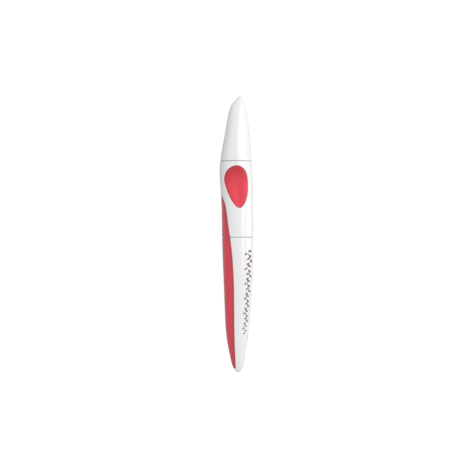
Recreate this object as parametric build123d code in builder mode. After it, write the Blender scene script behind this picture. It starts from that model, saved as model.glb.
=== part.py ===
"""Capped school fountain pen for ink cartridges, lying on its side.

Frame: millimetres. The pen's long axis is Y, with the cap's tip at +Y and the barrel's
tail at -Y. +Z is up, Z = 0 is the surface that the pen lies on, and the origin is at the
bottom centre of its box. The grip pads face +Z and -Z and the coloured belly faces -X.
Every bore and every turned piece is round about the pen's axis, X = 0 and Z = axis_z.
"""

import os
from math import copysign, cos, pi, sin

from build123d import *

os.makedirs("parts", exist_ok=True)

# ---------------------------------------------------------------- driving dimensions
# outside
cap_length = 33.5
section_length = 39.25
barrel_length = 69.25
body_width = 17.6
body_height = 15.2
squareness = 2.6  # exponent of the cross-section's superellipse, 2 is a plain ellipse
cap_tip_offset = 1.7
tail_offset = 1.0

# trim rings in the two seams
ring_thickness = 0.3
ring_inset = 0.5

# shells and inlays
grip_wall = 1.7
cap_wall = 1.25
barrel_wall = 1.7
inlay_depth = 0.7
pad_recess = 0.25
pad_thickness = 0.8

# standard short ink cartridge
cartridge_length = 38.5
cartridge_radius = 3.7
neck_length = 5.5
neck_radius = 2.7
cartridge_wall = 0.55
cartridge_edge = 0.6
ball_radius = 1.55
ball_settled = 4.0  # how far the fitted cartridge's ball has dropped behind its neck
ink_fill = 21.0
cartridge_space = 5.6  # free length between the fitted cartridge and the spare one
cartridge_depth = 26.5  # how far the fitted cartridge reaches into the section

# section core, collar and piercing tube
core_wall = 1.05
collar_length = 8.0
collar_root_radius = 5.3
collar_nose_radius = 4.4
bead_height = 0.12
bead_place = 3.2
bead_length = 1.0
needle_radius = 1.55
needle_bore = 0.45
needle_reach = 4.9  # how far the piercing tube enters the cartridge's neck
needle_seat = 3.0  # how far it sits in the feed

# feed
feed_radius = 3.1
feed_length = 33.0
feed_nose = 2.6  # how far the feed's front stays behind the nib's tip
fin_count = 9
fin_pitch = 1.15
fin_gap = 0.45
fin_depth = 0.9
channel_width = 0.3
channel_depth = 0.5

# nib
nib_length = 26.0
nib_reach = 17.6  # how much of the nib stands out of the collar
nib_shoulder = 5.0  # how far in front of the collar the nib is widest
nib_half_width = 3.2
nib_heel_half_width = 2.7
nib_tip_half_width = 0.4
nib_tip_radius = 0.75  # height of the nib's tip over the pen's axis
nib_sheet = 0.3
slit_width = 0.12
slit_length = 10.0
breather_radius = 0.6
tip_ball_radius = 0.5
nib_dip = 0.28  # slope at which the nib's underside meets its tip
nib_taper = 0.12  # slope at which its sides meet its tip

# barrel thread, its insert and the flat seal ring
thread_pitch = 2.4
thread_turns = 2.5
thread_height = 0.55
thread_base = 1.1
thread_crest = 0.6
thread_plain = 1.9  # plain length between the seam and the first turn
thread_lead_in = 1.3
thread_bite = 0.1  # depth of the ridge's foot in the wall that it stands on
insert_wall = 0.65
seal_thickness = 0.9

# clearances
running_gap = 0.08
cartridge_gap = 0.2
thread_gap = 0.12
needle_gap = 0.05
seal_gap = 0.1
liner_wall = 0.7
nib_room = 0.9  # free length between the nib's tip and the inner cap's end
liner_step = 1.0  # how far past the collar's nose the inner cap starts to narrow

# ---------------------------------------------------------------- places on the axis
pen_length = cap_length + section_length + barrel_length
axis_z = body_height / 2
cap_tip_y = pen_length / 2
tail_y = -pen_length / 2
front_seam_y = cap_tip_y - cap_length
rear_seam_y = front_seam_y - section_length

cartridge_front_y = rear_seam_y + cartridge_depth
cartridge_rear_y = cartridge_front_y - cartridge_length
spare_front_y = cartridge_rear_y - cartridge_space
spare_rear_y = spare_front_y - cartridge_length

collar_nose_y = front_seam_y + collar_length
nib_tip_y = collar_nose_y + nib_reach
nib_heel_y = nib_tip_y - nib_length
feed_front_y = nib_tip_y - feed_nose
feed_rear_y = feed_front_y - feed_length
liner_end_y = nib_tip_y + nib_room

thread_start_y = rear_seam_y - thread_plain
thread_end_y = thread_start_y - thread_turns * thread_pitch
core_rear_y = thread_end_y - thread_lead_in
insert_front_y = rear_seam_y - seal_thickness - running_gap
insert_rear_y = core_rear_y - thread_lead_in

# radii that fit to each other
socket_radius = cartridge_radius + cartridge_gap
core_radius = socket_radius + core_wall
thread_crest_radius = core_radius + thread_height
insert_bore_radius = thread_crest_radius + thread_gap
insert_radius = insert_bore_radius + insert_wall
channel_radius = feed_radius + nib_sheet
liner_mouth_radius = collar_root_radius + bead_height + running_gap

# shared directions and planes
pen_axis = Axis((0, 0, axis_z), (0, 1, 0))
half_plane = Plane.XY.offset(axis_z)
past_all = pen_length + body_width

# ---------------------------------------------------------------- outer skin
# Each row: share of the piece's length counted from its front seam or tip, left and right
# edge as shares of half the width, and height as a share of half the height.
cap_rows = [
    (0.045, -0.045, 0.38, 0.27),
    (0.15, -0.345, 0.52, 0.48),
    (0.33, -0.535, 0.65, 0.66),
    (0.57, -0.69, 0.775, 0.82),
    (0.81, -0.855, 0.85, 0.93),
]
section_rows = [
    (0.06, -0.995, 0.91, 0.985),
    (0.45, -0.92, 0.97, 0.998),
    (0.96, -0.86, 0.995, 0.998),
]
barrel_rows = [
    (0.265, -0.785, 0.95, 0.965),
    (0.545, -0.70, 0.815, 0.865),
    (0.73, -0.605, 0.675, 0.745),
    (0.86, -0.43, 0.515, 0.585),
    (0.945, -0.27, 0.40, 0.39),
    (0.985, -0.105, 0.27, 0.215),
]
outline_points = 12


def across(y):
    """Plane across the pen at y, with its own x along X and its own y along Z."""
    return Plane(origin=(0, y, axis_z), x_dir=(1, 0, 0), z_dir=(0, -1, 0))


def oval(left, right, half_height):
    """Points of one cross-section, a superellipse between left and right."""
    middle = (left + right) / 2
    half_width = (right - left) / 2
    points = []
    for i in range(outline_points):
        turn = 2 * pi * i / outline_points
        x = copysign(abs(cos(turn)) ** (2 / squareness), cos(turn))
        z = copysign(abs(sin(turn)) ** (2 / squareness), sin(turn))
        points.append((middle + half_width * x, half_height * z))
    return points


def skin_rows():
    """All rows as (y, left, right, half height) in millimetres, from tip to tail."""
    rows = []
    for start, length, table in (
        (cap_tip_y, cap_length, cap_rows),
        (front_seam_y, section_length, section_rows),
        (rear_seam_y, barrel_length, barrel_rows),
    ):
        for share, left, right, height in table:
            rows.append(
                (
                    start - share * length,
                    left * body_width / 2,
                    right * body_width / 2,
                    height * body_height / 2,
                )
            )
    return rows


def skin(inset=0.0, first=0, last=None):
    """The pen's outer skin as one solid, set in by inset; closed to its tips when whole."""
    rows = skin_rows()[first:last]
    with BuildPart() as body:
        slices = []
        for y, left, right, half_height in rows:
            with BuildSketch(across(y), mode=Mode.PRIVATE) as slice_sketch:
                with BuildLine():
                    Spline(*oval(left + inset, right - inset, half_height - inset), periodic=True)
                make_face()
            slices.append(slice_sketch.sketch.faces()[0])
        if first == 0:
            slices.insert(0, Vertex(cap_tip_offset, cap_tip_y - inset, axis_z))
        if last is None:
            slices.append(Vertex(tail_offset, tail_y + inset, axis_z))
        loft(sections=slices)
    return body.part


def reach(y):
    """Least distance from the pen's axis to the skin at y, straight between the rows."""
    rows = [(cap_tip_y, -cap_tip_offset, cap_tip_offset, 0.0), *skin_rows()]
    rows.append((tail_y, -tail_offset, tail_offset, 0.0))
    for upper, lower in zip(rows, rows[1:]):
        if upper[0] >= y >= lower[0]:
            share = (upper[0] - y) / (upper[0] - lower[0])
            left, right, rise = (a + share * (b - a) for a, b in zip(upper[1:], lower[1:]))
            return min(-left, right, rise)
    raise ValueError("y is outside the pen")


def turned(*outline):
    """A solid turned about the pen's axis from a closed outline of (radius, y) points."""
    with BuildPart() as body:
        with BuildSketch(half_plane):
            Polygon(*outline, align=None)
        revolve(axis=pen_axis)
    return body.part


def band(low_y, high_y):
    """A block over the pen's whole cross-section between two places on its axis."""
    with BuildPart() as body:
        with BuildSketch(Plane(origin=(0, low_y, axis_z), x_dir=(1, 0, 0), z_dir=(0, 1, 0))):
            Rectangle(2 * body_width, 2 * body_width)
        extrude(amount=high_y - low_y)
    return body.part


def keep_only(*tools):
    """Keep what the piece being built shares with every one of the tools."""
    for tool in tools:
        add(tool, mode=Mode.INTERSECT)


def take_away(*tools):
    """Cut the tools out of the piece being built."""
    for tool in tools:
        add(tool, mode=Mode.SUBTRACT)


def finish(piece, name):
    """Label a finished piece and write its file."""
    piece.part.label = name
    export_step(piece.part, f"parts/{name}.step")


# ---------------------------------------------------------------- layers under the skin
around_section = {"first": 4, "last": 9}
whole_skin = skin()
inlay_floor = skin(inlay_depth)
ring_edge = skin(ring_inset, **around_section)
pad_face = skin(pad_recess, **around_section)
pad_floor = skin(pad_recess + pad_thickness, **around_section)
grip_cavity = skin(grip_wall, **around_section)

# ---------------------------------------------------------------- inlay outlines in plan
# The belly's edge runs from the section's left side down to the tail.
belly_apex_y = front_seam_y - 0.44 * section_length
belly_end_y = tail_y + 0.025 * barrel_length
half_width = body_width / 2
belly_edge = [
    (-0.95 * half_width, belly_apex_y),
    (-0.74 * half_width, front_seam_y - 0.54 * section_length),
    (-0.58 * half_width, front_seam_y - 0.73 * section_length),
    (-0.405 * half_width, rear_seam_y),
    (-0.26 * half_width, rear_seam_y - 0.165 * barrel_length),
    (-0.195 * half_width, rear_seam_y - 0.315 * barrel_length),
    (-0.155 * half_width, rear_seam_y - 0.70 * barrel_length),
    (-0.08 * half_width, belly_end_y),
]

# The grip pad's teardrop, round towards the cap and pointed towards the barrel.
pad_top_y = front_seam_y - 0.066 * section_length
pad_tip_y = front_seam_y - 0.615 * section_length
pad_length = pad_top_y - pad_tip_y
pad_outline = [
    (-0.09 * half_width, pad_top_y),
    (-0.55 * half_width, pad_top_y - 0.10 * pad_length),
    (-0.76 * half_width, pad_top_y - 0.30 * pad_length),
    (-0.60 * half_width, pad_top_y - 0.58 * pad_length),
    (-0.27 * half_width, pad_top_y - 0.85 * pad_length),
    (0.17 * half_width, pad_tip_y),
    (0.545 * half_width, pad_top_y - 0.81 * pad_length),
    (0.655 * half_width, pad_top_y - 0.46 * pad_length),
    (0.56 * half_width, pad_top_y - 0.18 * pad_length),
    (0.29 * half_width, pad_top_y - 0.035 * pad_length),
]

with BuildPart() as belly_block:
    with BuildSketch():
        with BuildLine():
            edge = Spline(*belly_edge)
            Polyline(
                edge @ 1,
                (-past_all, belly_end_y),
                (-past_all, belly_apex_y),
                edge @ 0,
            )
        make_face()
    extrude(amount=past_all, both=True)

with BuildPart() as thumb_block:
    with BuildSketch(half_plane):
        with BuildLine():
            Spline(*pad_outline, periodic=True)
        make_face()
    extrude(amount=body_height)

finger_block = mirror(thumb_block.part, about=half_plane)
grip_range = band(rear_seam_y + ring_thickness, front_seam_y - ring_thickness)
cap_range = band(front_seam_y, past_all)
barrel_range = band(-past_all, rear_seam_y)

with BuildPart() as belly_layer:
    add(whole_skin)
    keep_only(belly_block.part)
    take_away(inlay_floor)

# ---------------------------------------------------------------- section: grip shell and inlays
with BuildPart() as section_inlay:
    add(belly_layer.part)
    keep_only(grip_range)
finish(section_inlay, "section_inlay")

for pad_name, block in (("thumb_pad", thumb_block.part), ("finger_pad", finger_block)):
    with BuildPart() as pad:
        add(pad_face)
        keep_only(block)
        take_away(pad_floor)
    finish(pad, pad_name)

with BuildPart() as grip_shell:
    add(whole_skin)
    keep_only(grip_range)
    take_away(belly_layer.part, grip_cavity)
    for block in (thumb_block.part, finger_block):
        with BuildPart(mode=Mode.PRIVATE) as pocket:
            add(block)
            take_away(pad_floor)
        take_away(pocket.part)
finish(grip_shell, "grip_shell")

# ---------------------------------------------------------------- section: trim rings and core
for ring_name, low_y in (
    ("front_ring", front_seam_y - ring_thickness),
    ("rear_ring", rear_seam_y),
):
    with BuildPart() as ring:
        add(ring_edge)
        keep_only(band(low_y, low_y + ring_thickness))
        with Locations(across(low_y)):
            Hole(core_radius)
    finish(ring, ring_name)


def thread_ridge(root_radius, crest_radius, start_y):
    """One helical ridge of the barrel's thread, from start_y towards the tail."""
    outward = 1 if crest_radius > root_radius else -1
    height = abs(crest_radius - root_radius)
    with BuildPart() as ridge:
        with BuildLine() as path:
            Helix(
                pitch=thread_pitch,
                height=thread_turns * thread_pitch,
                radius=root_radius,
                center=(0, start_y - thread_turns * thread_pitch, axis_z),
                direction=(0, 1, 0),
            )
        start = path.line @ 0
        outwards = (Vector(start.X, 0, start.Z - axis_z) * outward).normalized()
        with BuildSketch(Plane(origin=start, x_dir=outwards, z_dir=path.line % 0)):
            with BuildLine():
                Polyline(
                    (-thread_bite, -thread_base / 2),
                    (0, -thread_base / 2),
                    (height, -thread_crest / 2),
                    (height, thread_crest / 2),
                    (0, thread_base / 2),
                    (-thread_bite, thread_base / 2),
                    close=True,
                )
            make_face()
        sweep(path=path.line, is_frenet=True)
    return ridge.part


with BuildPart() as section_core:
    add(
        turned(
            (0, core_rear_y),
            (core_radius, core_rear_y),
            (core_radius, front_seam_y),
            (collar_root_radius, front_seam_y),
            (collar_root_radius, front_seam_y + bead_place),
            (collar_root_radius + bead_height, front_seam_y + bead_place + bead_length / 2),
            (collar_root_radius, front_seam_y + bead_place + bead_length),
            (collar_root_radius, front_seam_y + bead_place + 2 * bead_length),
            (collar_nose_radius, collar_nose_y),
            (0, collar_nose_y),
        )
    )
    add(thread_ridge(core_radius, thread_crest_radius, thread_start_y))
    take_away(
        turned(
            (0, core_rear_y),
            (socket_radius, core_rear_y),
            (socket_radius, cartridge_front_y + running_gap),
            (needle_radius, cartridge_front_y + running_gap),
            (needle_radius, feed_rear_y),
            (channel_radius, feed_rear_y),
            (channel_radius, collar_nose_y),
            (0, collar_nose_y),
        )
    )
finish(section_core, "section_core")

# ---------------------------------------------------------------- section: feed, tube and nib
nib_shoulder_y = collar_nose_y + nib_shoulder


def nib_cone(lift, front_y):
    """A round solid whose side is the nib's underside raised by lift, cut off at front_y."""
    with BuildPart() as body:
        with BuildSketch(half_plane):
            with BuildLine():
                Polyline(
                    (nib_tip_radius + lift, nib_tip_y),
                    (0, nib_tip_y),
                    (0, feed_rear_y),
                    (feed_radius + lift, feed_rear_y),
                    (feed_radius + lift, nib_shoulder_y),
                )
                Spline(
                    (feed_radius + lift, nib_shoulder_y),
                    (nib_tip_radius + lift, nib_tip_y),
                    tangents=[(0, 1), (-nib_dip, 1)],
                )
            make_face()
        revolve(axis=pen_axis)
        keep_only(band(-past_all, front_y))
    return body.part


with BuildPart() as nib_blank:
    with BuildSketch(half_plane):
        with BuildLine():
            Spline(
                (nib_half_width, nib_shoulder_y),
                (nib_tip_half_width, nib_tip_y),
                tangents=[(0, 1), (-nib_taper, 1)],
            )
            Polyline(
                (nib_tip_half_width, nib_tip_y),
                (0, nib_tip_y),
                (0, nib_heel_y),
                (nib_heel_half_width, nib_heel_y),
                (nib_half_width, nib_shoulder_y),
            )
        make_face()
        mirror(about=Plane.YZ)
        with Locations((0, nib_tip_y - slit_length / 2)):
            Rectangle(slit_width, slit_length, mode=Mode.SUBTRACT)
        with Locations((0, nib_tip_y - slit_length)):
            Circle(breather_radius, mode=Mode.SUBTRACT)
    extrude(amount=body_height)

with BuildPart() as nib:
    add(nib_cone(nib_sheet, nib_tip_y))
    keep_only(nib_blank.part)
    take_away(nib_cone(0, nib_tip_y))
finish(nib, "nib")

with BuildPart() as nib_tip:
    with Locations((0, nib_tip_y, axis_z + nib_tip_radius + nib_sheet / 2)):
        Sphere(tip_ball_radius)
    keep_only(band(nib_tip_y, past_all))
finish(nib_tip, "nib_tip")

with BuildPart() as feed:
    add(nib_cone(0, feed_front_y))
    for i in range(fin_count):
        low_y = collar_nose_y + fin_pitch * (i + 0.5)
        ring_bottom = feed_radius - fin_depth
        with BuildPart(mode=Mode.PRIVATE) as groove:
            add(band(low_y, low_y + fin_gap))
            take_away(
                turned(
                    (0, low_y),
                    (ring_bottom, low_y),
                    (ring_bottom, low_y + fin_gap),
                    (0, low_y + fin_gap),
                )
            )
            with Locations((0, low_y, axis_z + feed_radius)):
                Box(2 * nib_half_width, 4 * fin_pitch, feed_radius, mode=Mode.SUBTRACT)
        take_away(groove.part)
    with Locations((0, (feed_front_y + feed_rear_y) / 2, axis_z + feed_radius)):
        Box(channel_width, feed_length, 2 * channel_depth, mode=Mode.SUBTRACT)
    take_away(
        turned(
            (0, feed_rear_y),
            (needle_radius, feed_rear_y),
            (needle_radius, feed_rear_y + needle_seat),
            (0, feed_rear_y + needle_seat),
        )
    )
finish(feed, "feed")

with BuildPart() as piercing_tube:
    needle_tip_y = cartridge_front_y - needle_reach
    add(
        turned(
            (needle_bore, needle_tip_y),
            (needle_radius - needle_bore, needle_tip_y),
            (needle_radius, needle_tip_y + needle_bore),
            (needle_radius, feed_rear_y + needle_seat),
            (needle_bore, feed_rear_y + needle_seat),
        )
    )
finish(piercing_tube, "piercing_tube")


# ---------------------------------------------------------------- ink cartridges
def make_cartridge(prefix, mouth_y, inward, ball_drop):
    """Cartridge, sealing ball and ink; inward is -1 when its neck faces the cap, else 1."""

    def along(distance):
        return mouth_y + inward * distance

    neck_bore = needle_radius + needle_gap
    cavity = cartridge_radius - cartridge_wall
    shoulder = neck_length + cartridge_edge
    with BuildPart() as shell:
        add(
            turned(
                (neck_bore, along(0)),
                (neck_radius - cartridge_edge / 2, along(0)),
                (neck_radius, along(cartridge_edge)),
                (neck_radius, along(neck_length)),
                (cartridge_radius - cartridge_edge, along(neck_length)),
                (cartridge_radius, along(shoulder)),
                (cartridge_radius, along(cartridge_length - cartridge_edge)),
                (cartridge_radius - cartridge_edge, along(cartridge_length)),
                (0, along(cartridge_length)),
                (0, along(cartridge_length - cartridge_wall)),
                (cavity - cartridge_edge, along(cartridge_length - cartridge_wall)),
                (cavity, along(cartridge_length - cartridge_wall - cartridge_edge)),
                (cavity, along(shoulder + cartridge_wall)),
                (neck_bore, along(neck_length)),
            )
        )
    finish(shell, f"{prefix}cartridge")

    with BuildPart() as ball:
        with Locations((0, along(neck_length / 2 + ball_drop), axis_z)):
            Sphere(ball_radius)
    finish(ball, f"{prefix}cartridge_ball")

    ink_end = cartridge_length - cartridge_wall
    with BuildPart() as ink:
        add(
            turned(
                (0, along(ink_end - ink_fill)),
                (cavity, along(ink_end - ink_fill)),
                (cavity, along(ink_end - cartridge_edge)),
                (cavity - cartridge_edge, along(ink_end)),
                (0, along(ink_end)),
            )
        )
    finish(ink, f"{prefix}cartridge_ink")


make_cartridge("", cartridge_front_y, -1, neck_length / 2 + ball_settled)
make_cartridge("spare_", spare_rear_y, 1, 0)

# ---------------------------------------------------------------- cap
liner_step_y = collar_nose_y + liner_step
liner_points = 4


def liner_side(shrink):
    """The inner cap's side as (radius, y) points, its outer face set in by shrink."""
    side = [
        (liner_mouth_radius + liner_wall - shrink, front_seam_y),
        (liner_mouth_radius + liner_wall - shrink, liner_step_y),
    ]
    run = liner_end_y - liner_step_y
    for i in range(liner_points + 1):
        y = liner_step_y + run * i / liner_points
        side.append((reach(y) - cap_wall - shrink, y))
    return side


with BuildPart() as cap_shell:
    add(whole_skin)
    keep_only(cap_range)
    bore_end_y = liner_end_y + liner_wall
    take_away(
        turned(
            (0, front_seam_y),
            *liner_side(0),
            (reach(bore_end_y) - cap_wall, bore_end_y),
            (0, bore_end_y),
        )
    )
finish(cap_shell, "cap_shell")

with BuildPart() as cap_liner:
    add(
        turned(
            *liner_side(0),
            (reach(bore_end_y) - cap_wall, bore_end_y),
            (0, bore_end_y),
            (0, liner_end_y),
            *reversed(liner_side(liner_wall)),
        )
    )
finish(cap_liner, "cap_liner")

# ---------------------------------------------------------------- barrel
spare_shoulder_y = spare_rear_y + neck_length
bore_floor_y = spare_rear_y - cartridge_gap

with BuildPart() as barrel_inlay:
    add(belly_layer.part)
    keep_only(barrel_range)
finish(barrel_inlay, "barrel_inlay")

with BuildPart() as barrel_shell:
    add(whole_skin)
    keep_only(barrel_range)
    take_away(
        belly_layer.part,
        turned(
            (0, rear_seam_y),
            (insert_radius, rear_seam_y),
            (insert_radius, insert_rear_y),
            (reach(insert_rear_y) - barrel_wall, insert_rear_y),
            (socket_radius, spare_shoulder_y),
            (neck_radius + cartridge_gap, bore_floor_y),
            (0, bore_floor_y),
        ),
    )
finish(barrel_shell, "barrel_shell")

with BuildPart() as barrel_insert:
    add(
        turned(
            (insert_bore_radius, insert_front_y),
            (insert_radius, insert_front_y),
            (insert_radius, insert_rear_y),
            (insert_bore_radius, insert_rear_y),
        )
    )
    add(thread_ridge(insert_bore_radius, core_radius + thread_gap, thread_start_y - thread_pitch / 2))
finish(barrel_insert, "barrel_insert")

with BuildPart() as barrel_seal:
    add(
        turned(
            (thread_crest_radius + seal_gap, rear_seam_y),
            (insert_radius - running_gap, rear_seam_y),
            (insert_radius - running_gap, rear_seam_y - seal_thickness),
            (thread_crest_radius + seal_gap, rear_seam_y - seal_thickness),
        )
    )
finish(barrel_seal, "barrel_seal")
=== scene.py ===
"""A capped school fountain pen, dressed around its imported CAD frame.

All lengths are in metres in the frame of the part: Y runs along the pen towards the cap's
tip, the coloured belly faces -X, and Z = 0 is the table that the pen lies on. Sizes that are
easier to read in millimetres are written as a number times MM.
"""

import math

import bmesh
import bpy
import numpy as np
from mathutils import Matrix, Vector
from mathutils.geometry import delaunay_2d_cdt


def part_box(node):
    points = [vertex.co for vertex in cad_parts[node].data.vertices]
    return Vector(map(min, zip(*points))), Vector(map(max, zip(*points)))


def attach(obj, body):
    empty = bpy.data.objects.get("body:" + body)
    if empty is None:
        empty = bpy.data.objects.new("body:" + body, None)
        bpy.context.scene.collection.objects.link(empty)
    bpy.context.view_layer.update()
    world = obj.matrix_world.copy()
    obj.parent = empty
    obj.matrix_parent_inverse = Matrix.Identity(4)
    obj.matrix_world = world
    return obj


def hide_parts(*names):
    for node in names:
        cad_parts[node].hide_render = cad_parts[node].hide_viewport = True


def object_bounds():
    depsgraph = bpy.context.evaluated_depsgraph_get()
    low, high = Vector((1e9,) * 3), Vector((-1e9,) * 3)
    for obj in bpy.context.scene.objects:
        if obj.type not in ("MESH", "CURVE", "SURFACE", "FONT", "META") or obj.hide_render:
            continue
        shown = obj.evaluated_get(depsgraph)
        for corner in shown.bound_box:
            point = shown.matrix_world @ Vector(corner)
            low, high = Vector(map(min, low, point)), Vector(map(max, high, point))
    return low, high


bl_info = {
    "name": "School Fountain Pen",
    "version": (1, 0, 0),
    "blender": (4, 5, 0),
    "location": "View3D > Sidebar > Pen",
    "description": "Builds the pen's shells, inlays, nib, cartridges and stage around its frame",
    "category": "Object",
}

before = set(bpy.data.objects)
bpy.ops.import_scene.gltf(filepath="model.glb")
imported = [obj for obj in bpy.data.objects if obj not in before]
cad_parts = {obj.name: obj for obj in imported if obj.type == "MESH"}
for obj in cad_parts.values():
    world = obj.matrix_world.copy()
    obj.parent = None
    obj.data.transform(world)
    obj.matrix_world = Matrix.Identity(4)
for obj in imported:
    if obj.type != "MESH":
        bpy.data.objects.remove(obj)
cad_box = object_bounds()

MM = 0.001

# ---------------------------------------------------------------- places read from the frame
pen_low, pen_high = cad_box
AXIS_Z = (pen_low.z + pen_high.z) / 2
TIP_Y, TAIL_Y = pen_high.y, pen_low.y
FRONT_RING_LOW, FRONT_RING_HIGH = (corner.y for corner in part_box("front_ring"))
REAR_RING_LOW, REAR_RING_HIGH = (corner.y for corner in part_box("rear_ring"))
CORE_REAR_Y, COLLAR_NOSE_Y = (corner.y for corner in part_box("section_core"))
NIB_HEEL_Y, NIB_TIP_Y = (corner.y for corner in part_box("nib"))
FEED_REAR_Y, FEED_FRONT_Y = (corner.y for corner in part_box("feed"))
TUBE_REAR_Y, TUBE_FRONT_Y = (corner.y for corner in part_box("piercing_tube"))
INSERT_REAR_Y, INSERT_FRONT_Y = (corner.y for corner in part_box("barrel_insert"))
SEAL_REAR_Y, SEAL_FRONT_Y = (corner.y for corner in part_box("barrel_seal"))
LINER_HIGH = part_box("cap_liner")[1]


def half_span(node):
    """Half the width of a CAD node along X."""
    low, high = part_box(node)
    return (high.x - low.x) / 2


LINER_RADIUS = half_span("cap_liner")
INSERT_RADIUS = half_span("barrel_insert")
THREAD_CREST = half_span("section_core")
FEED_RADIUS = half_span("feed")
TUBE_RADIUS = half_span("piercing_tube")
CARTRIDGE_RADIUS = half_span("cartridge")
NIB_HALF_WIDTH = half_span("nib")

# ---------------------------------------------------------------- fixed measures
CAP_LENGTH = TIP_Y - FRONT_RING_HIGH
SECTION_LENGTH = FRONT_RING_HIGH - REAR_RING_LOW
BARREL_LENGTH = REAR_RING_LOW - TAIL_Y
HALF_WIDTH = 8.8 * MM
HALF_HEIGHT = 7.6 * MM
FULLNESS = 0.16  # how much fuller than an ellipse the cross-section is on its diagonals

# Rows of the outer skin: share of the piece's length from its front end, then left edge,
# right edge and height as shares of the half sizes.
CAP_ROWS = (
    (0.045, -0.045, 0.38, 0.27),
    (0.15, -0.345, 0.52, 0.48),
    (0.33, -0.535, 0.65, 0.66),
    (0.57, -0.69, 0.775, 0.82),
    (0.81, -0.855, 0.85, 0.93),
)
SECTION_ROWS = (
    (0.06, -0.995, 0.91, 0.985),
    (0.45, -0.92, 0.97, 0.995),
    (0.96, -0.86, 0.99, 0.995),
)
BARREL_ROWS = (
    (0.265, -0.785, 0.95, 0.965),
    (0.545, -0.70, 0.815, 0.865),
    (0.73, -0.605, 0.675, 0.745),
    (0.86, -0.43, 0.515, 0.585),
    (0.945, -0.27, 0.40, 0.39),
    (0.985, -0.105, 0.27, 0.215),
)
CAP_TIP_X = 1.7 * MM
TAIL_X = 1.0 * MM

# Edges, walls and depths of the moulded pieces.
LIP = 0.2 * MM  # rounding of every moulded edge that shows
SEAM = 0.05 * MM  # half of the gap between two inlaid pieces
RING_LIP = 0.08 * MM
RING_INSET = 0.5 * MM
PANEL_DEPTH = 1.0 * MM  # white panel of the section
INLAY_DEPTH = 0.7 * MM  # the belly, and the barrel's white panel beside it
PANEL_GAP = 0.08 * MM  # between a panel and the lining under it
GRIP_WALL = 1.7 * MM
PAD_RECESS = 0.25 * MM
PAD_SHEET = 0.3 * MM
COLLAR_RADIUS, COLLAR_NOSE_RADIUS = 5.3 * MM, 4.4 * MM
NIB_SHOULDER_Y = COLLAR_NOSE_Y + 5 * MM
NIB_TIP_RISE = 0.75 * MM
AROUND = 120  # columns round the pen
GRIP_RADIUS = 8.2 * MM  # turns times this radius lay the section's skin out flat


# ================================================================ shape rules
def smooth_rule(places, values):
    """A natural cubic spline through values at rising places, as a function of an array."""
    x, y = np.array(places, float), np.array(values, float)
    count, gap = len(x), np.diff(x)
    slope = np.diff(y) / gap
    matrix, right = np.eye(count), np.zeros(count)
    for i in range(1, count - 1):
        matrix[i, i - 1 : i + 2] = gap[i - 1], 2 * (gap[i - 1] + gap[i]), gap[i]
        right[i] = 6 * (slope[i] - slope[i - 1])
    bend = np.linalg.solve(matrix, right)

    def rule(at):
        at = np.clip(np.asarray(at, float), x[0], x[-1])
        i = np.clip(np.searchsorted(x, at) - 1, 0, count - 2)
        a, b = (x[i + 1] - at) / gap[i], (at - x[i]) / gap[i]
        cubic = ((a**3 - a) * bend[i] + (b**3 - b) * bend[i + 1]) * gap[i] ** 2 / 6
        return a * y[i] + b * y[i + 1] + cubic

    return rule


def sweep_angle(y):
    """Place along the pen as an angle, 0 at the cap's tip and pi at the tail."""
    middle, half = (TIP_Y + TAIL_Y) / 2, (TIP_Y - TAIL_Y) / 2
    return np.arccos(np.clip((np.asarray(y, float) - middle) / half, -1, 1))


def place_of(angle):
    """The inverse of sweep_angle."""
    middle, half = (TIP_Y + TAIL_Y) / 2, (TIP_Y - TAIL_Y) / 2
    return middle + half * np.cos(angle)


def skin_rules():
    """Left edge, right edge and height of the skin as smooth rules of the sweep angle."""
    rows = [(TIP_Y, CAP_TIP_X, CAP_TIP_X, 0.0)]
    for start, length, table in (
        (TIP_Y, CAP_LENGTH, CAP_ROWS),
        (FRONT_RING_HIGH, SECTION_LENGTH, SECTION_ROWS),
        (REAR_RING_LOW, BARREL_LENGTH, BARREL_ROWS),
    ):
        for share, left, right, rise in table:
            y = start - share * length
            rows.append((y, left * HALF_WIDTH, right * HALF_WIDTH, rise * HALF_HEIGHT))
    rows.append((TAIL_Y, TAIL_X, TAIL_X, 0.0))
    angles = [float(sweep_angle(row[0])) for row in rows]
    return [smooth_rule(angles, [row[i] for row in rows]) for i in (1, 2, 3)]


left_rule, right_rule, rise_rule = skin_rules()


def skin(y, turn, inset=0.0):
    """Points on the skin at y and at turn round the axis (0 is +X, pi/2 is up), as rows."""
    y, turn = np.broadcast_arrays(np.asarray(y, float), np.asarray(turn, float))
    angle = sweep_angle(y)
    left, right, rise = left_rule(angle), right_rule(angle), rise_rule(angle)
    half = np.maximum((right - left) / 2 - inset, 0)
    up = np.maximum(rise - inset, 0)
    c, s = np.cos(turn), np.sin(turn)
    x = (left + right) / 2 + half * c * (1 + FULLNESS * s * s)
    z = AXIS_Z + up * s * (1 + FULLNESS * c * c)
    return np.stack([x, y, z], -1)


def turn_of(x, y):
    """The turn between 0 and pi at which the skin passes over x."""
    x, y = np.broadcast_arrays(np.asarray(x, float), np.asarray(y, float))
    low, high = np.zeros(x.shape), np.full(x.shape, math.pi)
    for _ in range(40):
        middle = (low + high) / 2
        beyond = skin(y, middle)[..., 0] > x
        low, high = np.where(beyond, middle, low), np.where(beyond, high, middle)
    return (low + high) / 2


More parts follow.
